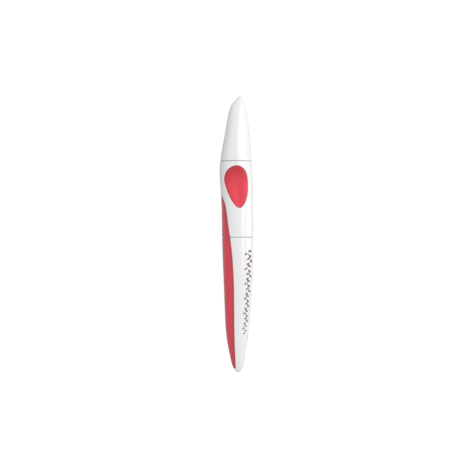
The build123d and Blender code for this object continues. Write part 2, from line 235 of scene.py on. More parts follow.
# The belly's edge seen from above: X as a smooth rule of the way from its apex to its end.
BELLY_APEX_Y = FRONT_RING_HIGH - 0.44 * SECTION_LENGTH
BELLY_END_Y = TAIL_Y + 0.025 * BARREL_LENGTH
BELLY_ROWS = (
    (BELLY_APEX_Y, -0.95),
    (FRONT_RING_HIGH - 0.54 * SECTION_LENGTH, -0.74),
    (FRONT_RING_HIGH - 0.73 * SECTION_LENGTH, -0.58),
    (REAR_RING_LOW, -0.405),
    (REAR_RING_LOW - 0.165 * BARREL_LENGTH, -0.26),
    (REAR_RING_LOW - 0.315 * BARREL_LENGTH, -0.195),
    (REAR_RING_LOW - 0.70 * BARREL_LENGTH, -0.155),
    (BELLY_END_Y, -0.08),
)
belly_edge = smooth_rule([-y for y, _ in BELLY_ROWS], [x * HALF_WIDTH for _, x in BELLY_ROWS])


def belly_turn(y, shift=0.0):
    """Turn of the belly's upper edge at y, moved by shift towards the white side."""
    y = np.asarray(y, float)
    turn = turn_of(belly_edge(-y) + shift, y)
    closing = np.clip((BELLY_APEX_Y + 2 * shift - y) / (1.2 * MM), 0, 1) ** 0.5
    ending = np.clip((y - BELLY_END_Y + shift) / (1.0 * MM), 0, 1) ** 0.5
    return math.pi - (math.pi - turn) * closing * ending


# The teardrop pad seen from above, round towards the cap, as X and Y on its closed outline.
PAD_TOP_Y = FRONT_RING_HIGH - 0.066 * SECTION_LENGTH
PAD_TIP_Y = FRONT_RING_HIGH - 0.615 * SECTION_LENGTH
PAD_LENGTH = PAD_TOP_Y - PAD_TIP_Y
PAD_ROWS = (
    (-0.09, 0.0),
    (-0.55, 0.10),
    (-0.76, 0.30),
    (-0.60, 0.58),
    (-0.27, 0.85),
    (0.17, 1.0),
    (0.545, 0.81),
    (0.655, 0.46),
    (0.56, 0.18),
    (0.29, 0.035),
)


def pad_outline(count, grow=0.0):
    """The teardrop's outline as count points, moved outwards by grow."""
    knots = np.array([(x * HALF_WIDTH, PAD_TOP_Y - d * PAD_LENGTH) for x, d in PAD_ROWS])
    wrapped = np.concatenate([knots[-3:], knots, knots[:4]])
    steps = np.linalg.norm(np.diff(wrapped, axis=0), axis=1) ** 0.5
    way = np.concatenate([[0], np.cumsum(steps)])
    at = np.linspace(way[3], way[3 + len(knots)], count, endpoint=False)
    points = np.stack([smooth_rule(way, wrapped[:, i])(at) for i in (0, 1)], -1)
    ahead = np.roll(points, -1, 0) - np.roll(points, 1, 0)
    outward = np.stack([-ahead[:, 1], ahead[:, 0]], -1)
    outward /= np.linalg.norm(outward, axis=1, keepdims=True)
    area = np.sum(points[:, 0] * np.roll(points[:, 1], -1) - points[:, 1] * np.roll(points[:, 0], -1))
    return points - outward * grow * np.sign(area)


# ================================================================ mesh tools
def inside(points, outline):
    """Which of the points lie inside a closed outline."""
    result = np.zeros(len(points), bool)
    px, py = points[:, 0], points[:, 1]
    for (ax, ay), (bx, by) in zip(outline, np.roll(outline, -1, 0)):
        crosses = (ay > py) != (by > py)
        if ay != by:
            result ^= crosses & (px < ax + (py - ay) * (bx - ax) / (by - ay))
    return result


def nearest(points, outline):
    """Distance from each point to the nearest point of an outline."""
    best = np.full(len(points), 1e9)
    for corner in outline:
        best = np.minimum(best, np.linalg.norm(points - corner, axis=1))
    return best


def fill(outline, holes, step):
    """Fills an outline, less its holes, with even triangles of about the size of step."""
    low, high = outline.min(0), outline.max(0)
    columns, rows = (np.ceil((high - low) / step)).astype(int) + 1
    grid_x = np.linspace(low[0], high[0], columns)
    grid_y = np.linspace(low[1], high[1], rows)
    grid = np.stack(np.meshgrid(grid_x, grid_y), -1).reshape(-1, 2)
    keep = inside(grid, outline) & (nearest(grid, outline) > 0.55 * step)
    for hole in holes:
        keep &= ~inside(grid, hole) & (nearest(grid, hole) > 0.55 * step)
    points, edges = [], []
    for loop in (outline, *holes):
        first = len(points)
        points.extend(loop.tolist())
        edges.extend((first + i, first + (i + 1) % len(loop)) for i in range(len(loop)))
    points.extend(grid[keep].tolist())
    scale = 1 / step
    flat = [Vector((x * scale, y * scale)) for x, y in points]
    found = delaunay_2d_cdt(flat, edges, [], 0, 1e-6)
    spots = np.array([v[:] for v in found[0]]) / scale
    faces = np.array([f for f in found[2] if len(f) == 3])
    middles = spots[faces].mean(1)
    good = inside(middles, outline)
    for hole in holes:
        good &= ~inside(middles, hole)
    return spots, faces[good]


def strip(ys, low_turn, high_turn, columns):
    """A grid of (turn, y) between two rules of y, as spots and four-sided faces."""
    share = np.linspace(0, 1, columns + 1)
    low, high = low_turn(ys)[:, None], high_turn(ys)[:, None]
    turns = low + (high - low) * share
    spots = np.stack([turns, np.broadcast_to(ys[:, None], turns.shape)], -1).reshape(-1, 2)
    width, faces = columns + 1, []
    for i in range(len(ys) - 1):
        for j in range(columns):
            a = i * width + j
            faces.append((a, a + 1, a + width + 1, a + width))
    return spots, faces


def new_object(name, mesh, material, crease=35):
    """Links a finished mesh as a smooth-shaded object that keeps edges over crease degrees."""
    for polygon in mesh.polygons:
        polygon.use_smooth = True
    mesh.set_sharp_from_angle(angle=math.radians(crease))
    mesh.materials.clear()
    mesh.materials.append(material)
    made = bpy.data.objects.new(name, mesh)
    bpy.context.scene.collection.objects.link(made)
    return made


def close_up(bm, name, flip=True):
    """Merges doubles, turns all faces outwards and returns the mesh."""
    bmesh.ops.remove_doubles(bm, verts=bm.verts, dist=1e-7)
    bmesh.ops.dissolve_degenerate(bm, edges=bm.edges, dist=1e-8)
    if flip:
        bmesh.ops.recalc_face_normals(bm, faces=bm.faces)
    mesh = bpy.data.meshes.new(name)
    bm.to_mesh(mesh)
    bm.free()
    return mesh


def panel(name, points, faces, depth, lip, material):
    """A moulded panel: an outer face, rounded lips along its edges, walls and an inner face."""
    bm = bmesh.new()
    verts = [bm.verts.new(p) for p in points]
    for face in faces:
        corners = [verts[i] for i in face]
        try:
            bm.faces.new(corners)
        except ValueError:
            raise ValueError(f"{name} has a face twice")
    bmesh.ops.remove_doubles(bm, verts=bm.verts, dist=2e-6)
    bmesh.ops.dissolve_degenerate(bm, edges=bm.edges, dist=1e-7)
    bmesh.ops.recalc_face_normals(bm, faces=bm.faces)
    bm.normal_update()
    outwards = 0.0
    for face in bm.faces:
        middle = face.calc_center_median()
        outwards += face.normal.dot((middle.x, 0, middle.z - AXIS_Z))
    if outwards < 0:
        bmesh.ops.reverse_faces(bm, faces=bm.faces)
        bm.normal_update()
    outer_faces = list(bm.faces)
    outer_verts = list(bm.verts)
    normal = {v: v.normal.copy() for v in outer_verts}
    rim = [e for e in bm.edges if len(e.link_faces) == 1]
    sideways = {}
    for edge in rim:
        face = edge.link_faces[0]
        middle = (edge.verts[0].co + edge.verts[1].co) / 2
        along = (edge.verts[1].co - edge.verts[0].co).normalized()
        for v in edge.verts:
            out = along.cross(normal[v])
            if out.dot(middle - face.calc_center_median()) < 0:
                out.negate()
            sideways.setdefault(v, []).append(out.normalized())
    out_of = {v: sum(outs, Vector()).normalized() for v, outs in sideways.items()}
    inner = {v: bm.verts.new(v.co - normal[v] * depth) for v in outer_verts if v not in out_of}
    rings = {}
    for v, out in out_of.items():
        chain = [v]
        for quarter in (30, 60, 90):
            a = math.radians(quarter)
            moved = v.co + out * lip * math.sin(a) - normal[v] * lip * (1 - math.cos(a))
            chain.append(bm.verts.new(moved))
        chain.append(bm.verts.new(v.co + out * lip - normal[v] * depth))
        rings[v] = chain
        inner[v] = chain[-1]
    for face in outer_faces:
        bm.faces.new([inner[v] for v in reversed(face.verts)])
    for edge in rim:
        a, b = edge.verts
        for k in range(4):
            bm.faces.new((rings[a][k], rings[b][k], rings[b][k + 1], rings[a][k + 1]))
    return new_object(name, close_up(bm, name), material)


def loft(name, rings, material, crease=35):
    """A closed solid through rings of points; a ring of one point is a pole."""
    bm = bmesh.new()
    rows = [[bm.verts.new(p) for p in ring] for ring in rings]
    for one, two in zip(rows, rows[1:]):
        count = max(len(one), len(two))
        for i in range(count):
            j = (i + 1) % count
            if len(one) == 1:
                bm.faces.new((one[0], two[i], two[j]))
            elif len(two) == 1:
                bm.faces.new((one[i], one[j], two[0]))
            else:
                bm.faces.new((one[i], one[j], two[j], two[i]))
    if len(rows[0]) > 1:
        for i in range(len(rows[0])):
            j = (i + 1) % len(rows[0])
            bm.faces.new((rows[-1][i], rows[-1][j], rows[0][j], rows[0][i]))
    return new_object(name, close_up(bm, name), material, crease)


def soften(profile, steps=4):
    """Rounds the corners of a closed outline of (radius, y, rounding) points."""
    result, count = [], len(profile)
    for i, (r, y, rounding) in enumerate(profile):
        here = Vector((r, y))
        before = Vector(profile[i - 1][:2]) - here
        after = Vector(profile[(i + 1) % count][:2]) - here
        cut = min(rounding, before.length * 0.49, after.length * 0.49)
        if cut <= 0:
            result.append((r, y))
            continue
        start, end = here + before.normalized() * cut, here + after.normalized() * cut
        for k in range(steps + 1):
            t = k / steps
            point = start * (1 - t) ** 2 + here * 2 * t * (1 - t) + end * t * t
            result.append((point.x, point.y))
    return result


def lathe(name, profile, material, segments=96, crease=35):
    """Turns a closed outline of (radius, y, rounding) points about the pen's axis."""
    rings = []
    turns = np.linspace(0, 2 * math.pi, segments, endpoint=False)
    for radius, y in soften(profile):
        if radius < 1e-6:
            rings.append([(0, y, AXIS_Z)])
        else:
            rings.append([(radius * math.cos(t), y, AXIS_Z + radius * math.sin(t)) for t in turns])
    on_axis = [i for i, ring in enumerate(rings) if len(ring) == 1]
    if len(on_axis) == 2:
        # the outline's stretch along the axis is left out, so the solid runs from pole to pole
        first = on_axis[-1] if on_axis[-1] - on_axis[0] == 1 else on_axis[0]
        rings = rings[first:] + rings[:first]
    return loft(name, rings, material, crease)


# ================================================================ materials
def node(tree, kind, **inputs):
    """Adds a shader or geometry node and sets its named inputs."""
    made = tree.nodes.new(kind)
    for name, value in inputs.items():
        made.inputs[name.replace("_", " ")].default_value = value
    return made


def start_material(name):
    """A new node material with its Principled shader; returns the material, tree and shader."""
    made = bpy.data.materials.new(name)
    made.use_nodes = True
    tree = made.node_tree
    return made, tree, tree.nodes["Principled BSDF"]


def grain(tree, scale, stretch=(1, 1, 1), detail=3.0):
    """Noise on the piece's own coordinates, with features about 1 / scale metres across."""
    place = tree.nodes.new("ShaderNodeTexCoord")
    mapping = tree.nodes.new("ShaderNodeMapping")
    mapping.inputs["Scale"].default_value = stretch
    noise = node(tree, "ShaderNodeTexNoise", Scale=scale, Detail=detail)
    tree.links.new(place.outputs["Object"], mapping.inputs["Vector"])
    tree.links.new(mapping.outputs["Vector"], noise.inputs["Vector"])
    return noise.outputs["Fac"]


def spread(tree, source, low, high):
    """Maps a grain to a range of values."""
    made = tree.nodes.new("ShaderNodeMapRange")
    made.inputs["From Min"].default_value = 0.3
    made.inputs["From Max"].default_value = 0.7
    made.inputs["To Min"].default_value = low
    made.inputs["To Max"].default_value = high
    tree.links.new(source, made.inputs["Value"])
    return made.outputs["Result"]


def tint(tree, source, first, second):
    """A colour that wanders between two colours with a grain."""
    made = tree.nodes.new("ShaderNodeMix")
    made.data_type = "RGBA"
    made.inputs["A"].default_value = (*first, 1)
    made.inputs["B"].default_value = (*second, 1)
    tree.links.new(spread(tree, source, 0, 1), made.inputs["Factor"])
    return made.outputs["Result"]


def bump(tree, source, depth, strength=1.0, below=None):
    """A bump of a real depth in metres, on top of another one if given."""
    made = node(tree, "ShaderNodeBump", Strength=strength, Distance=depth)
    tree.links.new(source, made.inputs["Height"])
    if below is not None:
        tree.links.new(below, made.inputs["Normal"])
    return made.outputs["Normal"]


def darker(colour, share):
    """A colour with its light cut to a share."""
    return tuple(channel * share for channel in colour)


def mix_painted_shade(tree, source, shaded):
    """Painted shade: a colour that turns into a darker, shaded one where the mesh's rim attribute rises
    to 1.
    """
    # the rim attribute holds how much painted shade each point takes
    rim = tree.nodes.new("ShaderNodeAttribute")
    rim.attribute_name = "rim"
    made = tree.nodes.new("ShaderNodeMix")
    made.data_type = "RGBA"
    made.inputs["B"].default_value = (*shaded, 1)
    tree.links.new(source, made.inputs["A"])
    tree.links.new(rim.outputs["Fac"], made.inputs["Factor"])
    return made.outputs["Result"]


def moulded_plastic(name, colour, roughness, coat=0.5, swirl=0.96, peel=4e-6):
    """Polished or satin moulded plastic: faint flow marks, fine scuffs, a soft skin, and painted shade
    where the mesh's rim attribute is set.
    """
    made, tree, shader = start_material(name)
    flow = grain(tree, 90, (1, 0.25, 1))
    scuffs = grain(tree, 2600, (1, 0.08, 1), 6)
    skin_grain = grain(tree, 1500, detail=2)
    # painted shade: the colour falls to 0.6 of itself where the rim attribute rises
    paint = mix_painted_shade(tree, tint(tree, flow, darker(colour, swirl), colour), darker(colour, 0.6))
    tree.links.new(paint, shader.inputs["Base Color"])
    tree.links.new(
        spread(tree, scuffs, roughness * 0.8, roughness * 1.35), shader.inputs["Roughness"]
    )
    peel_normal = bump(tree, skin_grain, peel)
    tree.links.new(bump(tree, scuffs, 1.5e-6, below=peel_normal), shader.inputs["Normal"])
    shader.inputs["Coat Weight"].default_value = coat
    shader.inputs["Coat Roughness"].default_value = 0.06
    shader.inputs["IOR"].default_value = 1.49
    return made


def soft_touch(name, colour, roughness=0.5):
    """Soft-touch rubber with a fine eroded grain, and painted shade where the mesh's rim attribute is
    set.
    """
    made, tree, shader = start_material(name)
    cloud = grain(tree, 220)
    fine = grain(tree, 9000, detail=4)
    # painted shade: the colour falls to 0.6 of itself where the rim attribute rises
    paint = mix_painted_shade(tree, tint(tree, cloud, darker(colour, 0.9), colour), darker(colour, 0.6))
    tree.links.new(paint, shader.inputs["Base Color"])
    tree.links.new(spread(tree, fine, roughness * 0.85, roughness * 1.2), shader.inputs["Roughness"])
    tree.links.new(bump(tree, fine, 1.2e-5), shader.inputs["Normal"])
    shader.inputs["Sheen Weight"].default_value = 0.15
    shader.inputs["Sheen Roughness"].default_value = 0.4
    return made


def brushed_metal(name, colour, roughness):
    """Metal brushed along the pen, with a few deeper strokes."""
    made, tree, shader = start_material(name)
    strokes = grain(tree, 9000, (1, 0.03, 1), 5)
    cloud = grain(tree, 400)
    tree.links.new(tint(tree, cloud, darker(colour, 0.86), colour), shader.inputs["Base Color"])
    tree.links.new(spread(tree, strokes, roughness * 0.7, roughness * 1.4), shader.inputs["Roughness"])
    tree.links.new(bump(tree, strokes, 4e-6), shader.inputs["Normal"])
    shader.inputs["Metallic"].default_value = 1.0
    return made


def clear_plastic(name, colour, roughness, passing):
    """See-through moulded plastic; passing is how much light goes through."""
    made, tree, shader = start_material(name)
    flow = grain(tree, 300, (1, 0.3, 1))
    tree.links.new(tint(tree, flow, darker(colour, 0.93), colour), shader.inputs["Base Color"])
    tree.links.new(spread(tree, flow, roughness, roughness * 1.6), shader.inputs["Roughness"])
    tree.links.new(bump(tree, flow, 6e-6), shader.inputs["Normal"])
    shader.inputs["Transmission Weight"].default_value = passing
    shader.inputs["IOR"].default_value = 1.45
    return made


def printed_ink(name, colour):
    """Pad-printed ink: thin, satin, with a slightly uneven cover."""
    made, tree, shader = start_material(name)
    cover = grain(tree, 3500)
    tree.links.new(tint(tree, cover, darker(colour, 0.8), colour), shader.inputs["Base Color"])
    tree.links.new(spread(tree, cover, 0.35, 0.55), shader.inputs["Roughness"])
    tree.links.new(bump(tree, cover, 3e-6), shader.inputs["Normal"])
    return made


def finish_named(name):
    """The material of that name, made the first time that it is asked for."""
    ready = bpy.data.materials.get(name)
    if ready is not None:
        return ready
    colours = bpy.context.scene.pen_colours
    recipes = {
        "white_shell": lambda: moulded_plastic(name, colours.shell, 0.2, 0.6, 0.975),
        "coral_shell": lambda: moulded_plastic(name, colours.coral, 0.2, 0.6, 0.9),
        "coral_pad": lambda: soft_touch(name, colours.pad),
        "grey_trim": lambda: moulded_plastic(name, colours.trim, 0.32, 0.1, 0.9),
        "core_white": lambda: moulded_plastic(name, (0.74, 0.74, 0.75), 0.42, 0.0, 0.94),
        "milky_liner": lambda: clear_plastic(name, (0.84, 0.85, 0.84), 0.45, 0.25),
        "feed_black": lambda: moulded_plastic(name, (0.018, 0.018, 0.02), 0.4, 0.0, 0.7),
        "nib_steel": lambda: brushed_metal(name, (0.68, 0.68, 0.69), 0.24),
        "tip_metal": lambda: brushed_metal(name, (0.5, 0.5, 0.52), 0.16),
        "cartridge_clear": lambda: clear_plastic(name, (0.72, 0.82, 0.95), 0.16, 0.75),
        "blue_ink": lambda: moulded_plastic(name, (0.01, 0.03, 0.3), 0.08, 0.3, 0.6, 1e-6),
        "glass_ball": lambda: clear_plastic(name, (0.9, 0.93, 0.95), 0.05, 0.9),
        "seal_rubber": lambda: soft_touch(name, (0.025, 0.025, 0.026), 0.65),
        "print_rose": lambda: printed_ink(name, colours.print_ink),
        "table_white": lambda: table_top(name),
    }
    return recipes[name]()


def table_top(name):
    """A pale matt table top with the faintest mottling."""
    made, tree, shader = start_material(name)
    cloud = grain(tree, 25)
    pale = tuple(bpy.context.scene.pen_stage.floor_colour)
    tree.links.new(tint(tree, cloud, darker(pale, 0.995), pale), shader.inputs["Base Color"])
    shader.inputs["Roughness"].default_value = 0.9
    shader.inputs["Specular IOR Level"].default_value = 0.1
    shader.inputs["Emission Color"].default_value = (1, 1, 1, 1)
    shader.inputs["Emission Strength"].default_value = bpy.context.scene.pen_stage.table_glow
    return made


# ================================================================ geometry node trees
def start_tree(name, sockets):
    """A geometry node group with a Geometry input and output and the named inputs."""
    tree = bpy.data.node_groups.new(name, "GeometryNodeTree")
    tree.interface.new_socket("Geometry", in_out="INPUT", socket_type="NodeSocketGeometry")
    for title, kind, value in sockets:
        socket = tree.interface.new_socket(title, in_out="INPUT", socket_type=kind)
        if value is not None:
            socket.default_value = value
    tree.interface.new_socket("Geometry", in_out="OUTPUT", socket_type="NodeSocketGeometry")
    return tree, tree.nodes.new("NodeGroupInput"), tree.nodes.new("NodeGroupOutput")


def end_tree(tree, given, result, geometry):
    """Ends a tree in Realize Instances and Set Material."""
    real = tree.nodes.new("GeometryNodeRealizeInstances")
    paint = tree.nodes.new("GeometryNodeSetMaterial")
    tree.links.new(geometry, real.inputs["Geometry"])
    tree.links.new(real.outputs["Geometry"], paint.inputs["Geometry"])
    tree.links.new(given.outputs["Material"], paint.inputs["Material"])
    tree.links.new(paint.outputs["Geometry"], result.inputs["Geometry"])


def attribute(tree, name, kind):
    """Reads a named attribute inside a tree."""
    made = tree.nodes.new("GeometryNodeInputNamedAttribute")
    made.data_type = kind
    made.inputs["Name"].default_value = name
    return made.outputs["Attribute"]


def fin_tree():
    """Round fins on the points of a mesh, each as wide as its point's girth."""
    tree, given, result = start_tree(
        "feed_fins",
        [
            ("Thickness", "NodeSocketFloat", 0.6 * MM),
            ("Sides", "NodeSocketInt", 64),
            ("Material", "NodeSocketMaterial", None),
        ],
    )
    disc = node(tree, "GeometryNodeMeshCylinder", Radius=1.0)
    lying = node(tree, "GeometryNodeTransform", Rotation=(math.pi / 2, 0, 0))
    place = tree.nodes.new("GeometryNodeInstanceOnPoints")
    size = tree.nodes.new("ShaderNodeCombineXYZ")
    size.inputs["Y"].default_value = 1.0
    girth = attribute(tree, "girth", "FLOAT")
    tree.links.new(given.outputs["Thickness"], disc.inputs["Depth"])
    tree.links.new(given.outputs["Sides"], disc.inputs["Vertices"])
    tree.links.new(disc.outputs["Mesh"], lying.inputs["Geometry"])
    tree.links.new(girth, size.inputs["X"])
    tree.links.new(girth, size.inputs["Z"])
    tree.links.new(given.outputs["Geometry"], place.inputs["Points"])
    tree.links.new(lying.outputs["Geometry"], place.inputs["Instance"])
    tree.links.new(size.outputs["Vector"], place.inputs["Scale"])
    end_tree(tree, given, result, place.outputs["Instances"])
    return tree


def thread_tree():
    """One helical ridge with a trapezoid section, round the Z axis, from Z = 0 upwards."""
    tree, given, result = start_tree(
        "thread_ridge",
        [
            ("Radius", "NodeSocketFloat", THREAD_CREST),
            ("Turns", "NodeSocketFloat", 2.5),
            ("Length", "NodeSocketFloat", 6 * MM),
            ("Foot", "NodeSocketFloat", 1.1 * MM),
            ("Crest", "NodeSocketFloat", 0.6 * MM),
            ("Height", "NodeSocketFloat", 0.6 * MM),
            ("Profile Turn", "NodeSocketFloat", 0.0),
            ("Material", "NodeSocketMaterial", None),
        ],
    )
    helix = node(tree, "GeometryNodeCurveSpiral", Resolution=64)
    upright = tree.nodes.new("GeometryNodeSetCurveNormal")
    upright.mode = "Z_UP"
    section = tree.nodes.new("GeometryNodeCurvePrimitiveQuadrilateral")
    section.mode = "TRAPEZOID"
    section.inputs["Offset"].default_value = 0
    turn = tree.nodes.new("GeometryNodeTransform")
    spin = tree.nodes.new("ShaderNodeCombineXYZ")
    skin_node = tree.nodes.new("GeometryNodeCurveToMesh")
    skin_node.inputs["Fill Caps"].default_value = True
    for title, sockets in (
        ("Radius", (helix.inputs["Start Radius"], helix.inputs["End Radius"])),
        ("Turns", (helix.inputs["Rotations"],)),
        ("Length", (helix.inputs["Height"],)),
        ("Foot", (section.inputs["Bottom Width"],)),
        ("Crest", (section.inputs["Top Width"],)),
        ("Height", (section.inputs["Height"],)),
        ("Profile Turn", (spin.inputs["Z"],)),
    ):
        for socket in sockets:
            tree.links.new(given.outputs[title], socket)
    tree.links.new(helix.outputs["Curve"], upright.inputs["Curve"])
    tree.links.new(spin.outputs["Vector"], turn.inputs["Rotation"])
    tree.links.new(section.outputs["Curve"], turn.inputs["Geometry"])
    tree.links.new(upright.outputs["Curve"], skin_node.inputs["Curve"])
    tree.links.new(turn.outputs["Geometry"], skin_node.inputs["Profile Curve"])
    end_tree(tree, given, result, skin_node.outputs["Mesh"])
    return tree


def sprig_tree():
    """Pointed leaves lying on a surface, at points that carry outward, heading and size."""
    tree, given, result = start_tree(
        "printed_leaves",
        [
            ("Film", "NodeSocketFloat", 0.02),
            ("Slimness", "NodeSocketFloat", 0.42),
            ("Material", "NodeSocketMaterial", None),
        ],
    )
    leaf = node(tree, "GeometryNodeMeshCylinder", Vertices=20, Radius=1.0)
    shape = tree.nodes.new("GeometryNodeSetPosition")
    position = tree.nodes.new("GeometryNodeInputPosition")
    parts = tree.nodes.new("ShaderNodeSeparateXYZ")
    joined = tree.nodes.new("ShaderNodeCombineXYZ")
    size_of_y, squared, slimmed = (tree.nodes.new("ShaderNodeMath") for _ in range(3))
    size_of_y.operation = "ABSOLUTE"
    squared.operation = "MULTIPLY"
    slimmed.operation = "MULTIPLY"
    links = tree.links
    links.new(given.outputs["Film"], leaf.inputs["Depth"])
    links.new(leaf.outputs["Mesh"], shape.inputs["Geometry"])
    links.new(position.outputs["Position"], parts.inputs["Vector"])
    links.new(parts.outputs["Y"], size_of_y.inputs[0])
    links.new(parts.outputs["Y"], squared.inputs[0])
    links.new(size_of_y.outputs["Value"], squared.inputs[1])
    links.new(squared.outputs["Value"], slimmed.inputs[0])
    links.new(given.outputs["Slimness"], slimmed.inputs[1])
    links.new(parts.outputs["X"], joined.inputs["X"])
    links.new(slimmed.outputs["Value"], joined.inputs["Y"])
    links.new(parts.outputs["Z"], joined.inputs["Z"])
    links.new(joined.outputs["Vector"], shape.inputs["Position"])
    upright = tree.nodes.new("FunctionNodeAlignRotationToVector")
    upright.axis = "Z"
    heading = tree.nodes.new("FunctionNodeAlignRotationToVector")
    heading.axis = "X"
    heading.pivot_axis = "Z"
    links.new(attribute(tree, "outward", "FLOAT_VECTOR"), upright.inputs["Vector"])
    links.new(upright.outputs["Rotation"], heading.inputs["Rotation"])
    links.new(attribute(tree, "heading", "FLOAT_VECTOR"), heading.inputs["Vector"])
    place = tree.nodes.new("GeometryNodeInstanceOnPoints")
    links.new(given.outputs["Geometry"], place.inputs["Points"])
    links.new(shape.outputs["Geometry"], place.inputs["Instance"])
    links.new(heading.outputs["Rotation"], place.inputs["Rotation"])
    links.new(attribute(tree, "size", "FLOAT"), place.inputs["Scale"])
    end_tree(tree, given, result, place.outputs["Instances"])
    return tree


def grow(name, seed_mesh, tree, values, material, crease=35):
    """Runs a tree on a mesh and returns the result as a plain object."""
    holder = bpy.data.objects.new(name + "_seed", seed_mesh)
    bpy.context.scene.collection.objects.link(holder)
    modifier = holder.modifiers.new("growth", "NODES")
    modifier.node_group = tree
    sockets = {
        item.name: item.identifier
        for item in tree.interface.items_tree
        if item.item_type == "SOCKET" and item.in_out == "INPUT"
    }
    modifier[sockets["Material"]] = material
    for title, value in values.items():
        modifier[sockets[title]] = value
    holder.update_tag()
    bpy.context.view_layer.update()
    graph = bpy.context.evaluated_depsgraph_get()
    mesh = bpy.data.meshes.new_from_object(holder.evaluated_get(graph))
    holder.modifiers.remove(modifier)
    bpy.data.objects.remove(holder)
    mesh.name = name
    return new_object(name, mesh, material, crease)


def point_mesh(name, points, **attributes):
    """A mesh of loose points with float or vector attributes for a tree to read."""
    mesh = bpy.data.meshes.new(name)
    mesh.from_pydata([tuple(p) for p in points], [], [])
    for title, values in attributes.items():
        values = np.asarray(values, float)
        kind, key = ("FLOAT_VECTOR", "vector") if values.ndim == 2 else ("FLOAT", "value")
        mesh.attributes.new(title, kind, "POINT").data.foreach_set(key, values.ravel())
    return mesh


# ================================================================ pieces
def skin_rings(y_from, y_to, count, inset=0.0):
    """Rings on the skin between two places, evenly spaced in sweep angle."""
    turns = np.linspace(0, 2 * math.pi, AROUND, endpoint=False)
    angles = np.linspace(sweep_angle(y_from), sweep_angle(y_to), count)
    return [skin(place_of(angle), turns, inset) for angle in angles]


def round_ring(radius, y):
    """A round ring about the axis with as many points as a ring on the skin."""
    turns = np.linspace(0, 2 * math.pi, AROUND, endpoint=False)
    flat = [radius * np.cos(turns), np.full(AROUND, y), AXIS_Z + radius * np.sin(turns)]
    return np.stack(flat, -1)


def mouth_lip(y, towards, inset=0.0, lip=LIP):
    """Rings that round a shell's end at y over to its end face; towards points out of it."""
    turns = np.linspace(0, 2 * math.pi, AROUND, endpoint=False)
    rings = []
    for degrees in (0, 30, 60, 90):
        a = math.radians(degrees)
        at = y - towards * lip * (1 - math.sin(a))
        rings.append(skin(at, turns, inset + lip * (1 - math.cos(a))))
    return rings


def reach(y):
    """Least distance from the axis to the skin at y."""
    angle = sweep_angle(y)
    return float(min(-left_rule(angle), right_rule(angle), rise_rule(angle)))


def make_cap():
    """The cap's shell, with its bore for the inner cap."""
    shape = bpy.context.scene.pen_shape
    mouth = FRONT_RING_HIGH
    bore_end = LINER_HIGH.y
    step = COLLAR_NOSE_Y + 1 * MM
    bore = [round_ring(LINER_RADIUS, y) for y in (mouth, step)]
    for y in np.linspace(step + 0.5 * MM, bore_end, 14):
        bore.append(round_ring(reach(y) - shape.cap_wall, y))
    lip = mouth_lip(mouth, -1)
    outside = skin_rings(mouth + LIP, TIP_Y, 90)[1:-1]
    rings = [[(0, bore_end, AXIS_Z)], *reversed(bore), *reversed(lip), *outside]
    rings.append([(CAP_TIP_X, TIP_Y, AXIS_Z)])
    cap = loft("cap_skin", rings, finish_named("white_shell"))
    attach(cap, "cap")
    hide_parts("cap_shell")


def make_liner():
    """The inner cap, a milky cup that seals the nib."""
    shape = bpy.context.scene.pen_shape
    wall, mouth, end = 0.7 * MM, FRONT_RING_HIGH + 0.3 * MM, LINER_HIGH.y
    step = COLLAR_NOSE_Y + 1 * MM
    side = [(LINER_RADIUS, mouth, 0.1 * MM), (LINER_RADIUS, step, 0)]
    for y in np.linspace(step + 0.5 * MM, end, 9):
        side.append((reach(y) - shape.cap_wall, y, 0))
    inner = [(r - wall, y if i else mouth, 0.1 * MM) for i, (r, y, _) in enumerate(side)]
    inner[-1] = (inner[-1][0], end - wall, 0)
    profile = [(0, end, 0), (0, end - wall, 0), *reversed(inner), *side]
    liner = lathe("inner_cap", profile, finish_named("milky_liner"))
    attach(liner, "cap")
    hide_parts("cap_liner")


def grip_border(shift):
    """Outline of the white grip shell as (turn * radius, y), with the belly cut out."""
    low, high = REAR_RING_HIGH + LIP, FRONT_RING_LOW - LIP
    apex = BELLY_APEX_Y + 2 * shift
    step = 0.4 * MM
    belly_y = np.linspace(low, apex, int((apex - low) / step))
    turns = belly_turn(belly_y, shift)
    side_y = np.linspace(apex, high, int((high - apex) / step))[1:]
    bottom = np.linspace(-turns[0], turns[0], int(2 * turns[0] * GRIP_RADIUS / step))[:-1]
    top = np.linspace(math.pi, -math.pi, int(2 * math.pi * GRIP_RADIUS / step))[:-1]
    right = list(zip(turns, belly_y)) + [(math.pi, y) for y in side_y[:-1]]
    left = [(-turn, y) for turn, y in reversed(right)]
    outline = [(turn, low) for turn in bottom] + right
    outline += [(turn, high) for turn in top] + [(-math.pi, high)] + left[:-1]
    return np.array(outline) * (GRIP_RADIUS, 1)


def make_grip():
    """The white shell of the section: its panel, cut for the pads and the belly, and its lining."""
    border = grip_border(LIP + SEAM)
    hole = pad_outline(130, LIP + SEAM)
    turns = turn_of(hole[:, 0], hole[:, 1])
    holes = [np.stack([side * turns * GRIP_RADIUS, hole[:, 1]], -1) for side in (1, -1)]
    spots, faces = fill(border, holes, 0.42 * MM)
    points = skin(spots[:, 1], spots[:, 0] / GRIP_RADIUS)
    shell = panel("grip_skin", points, faces, PANEL_DEPTH, LIP, finish_named("white_shell"))
    low, high = REAR_RING_HIGH + LIP, FRONT_RING_LOW - LIP
    outside = skin_rings(low, high, 50, PANEL_DEPTH + PANEL_GAP)
    inside_rings = skin_rings(high, low, 50, GRIP_WALL)
    lining = loft("grip_lining", [*outside, *inside_rings], finish_named("core_white"))
    for piece in (shell, lining):
        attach(piece, "section")
        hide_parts("grip_shell")


def write_painted_shade(piece, rule):
    """Writes how much painted shade each point of a piece takes, 0 to 1, as a rule of its place, into
    its rim attribute.
    """
    mesh = piece.data
    place = np.zeros(len(mesh.vertices) * 3)
    mesh.vertices.foreach_get("co", place)
    layer = mesh.attributes.new("rim", "FLOAT", "POINT")
    layer.data.foreach_set("value", rule(*place.reshape(-1, 3).T).astype(np.float32))


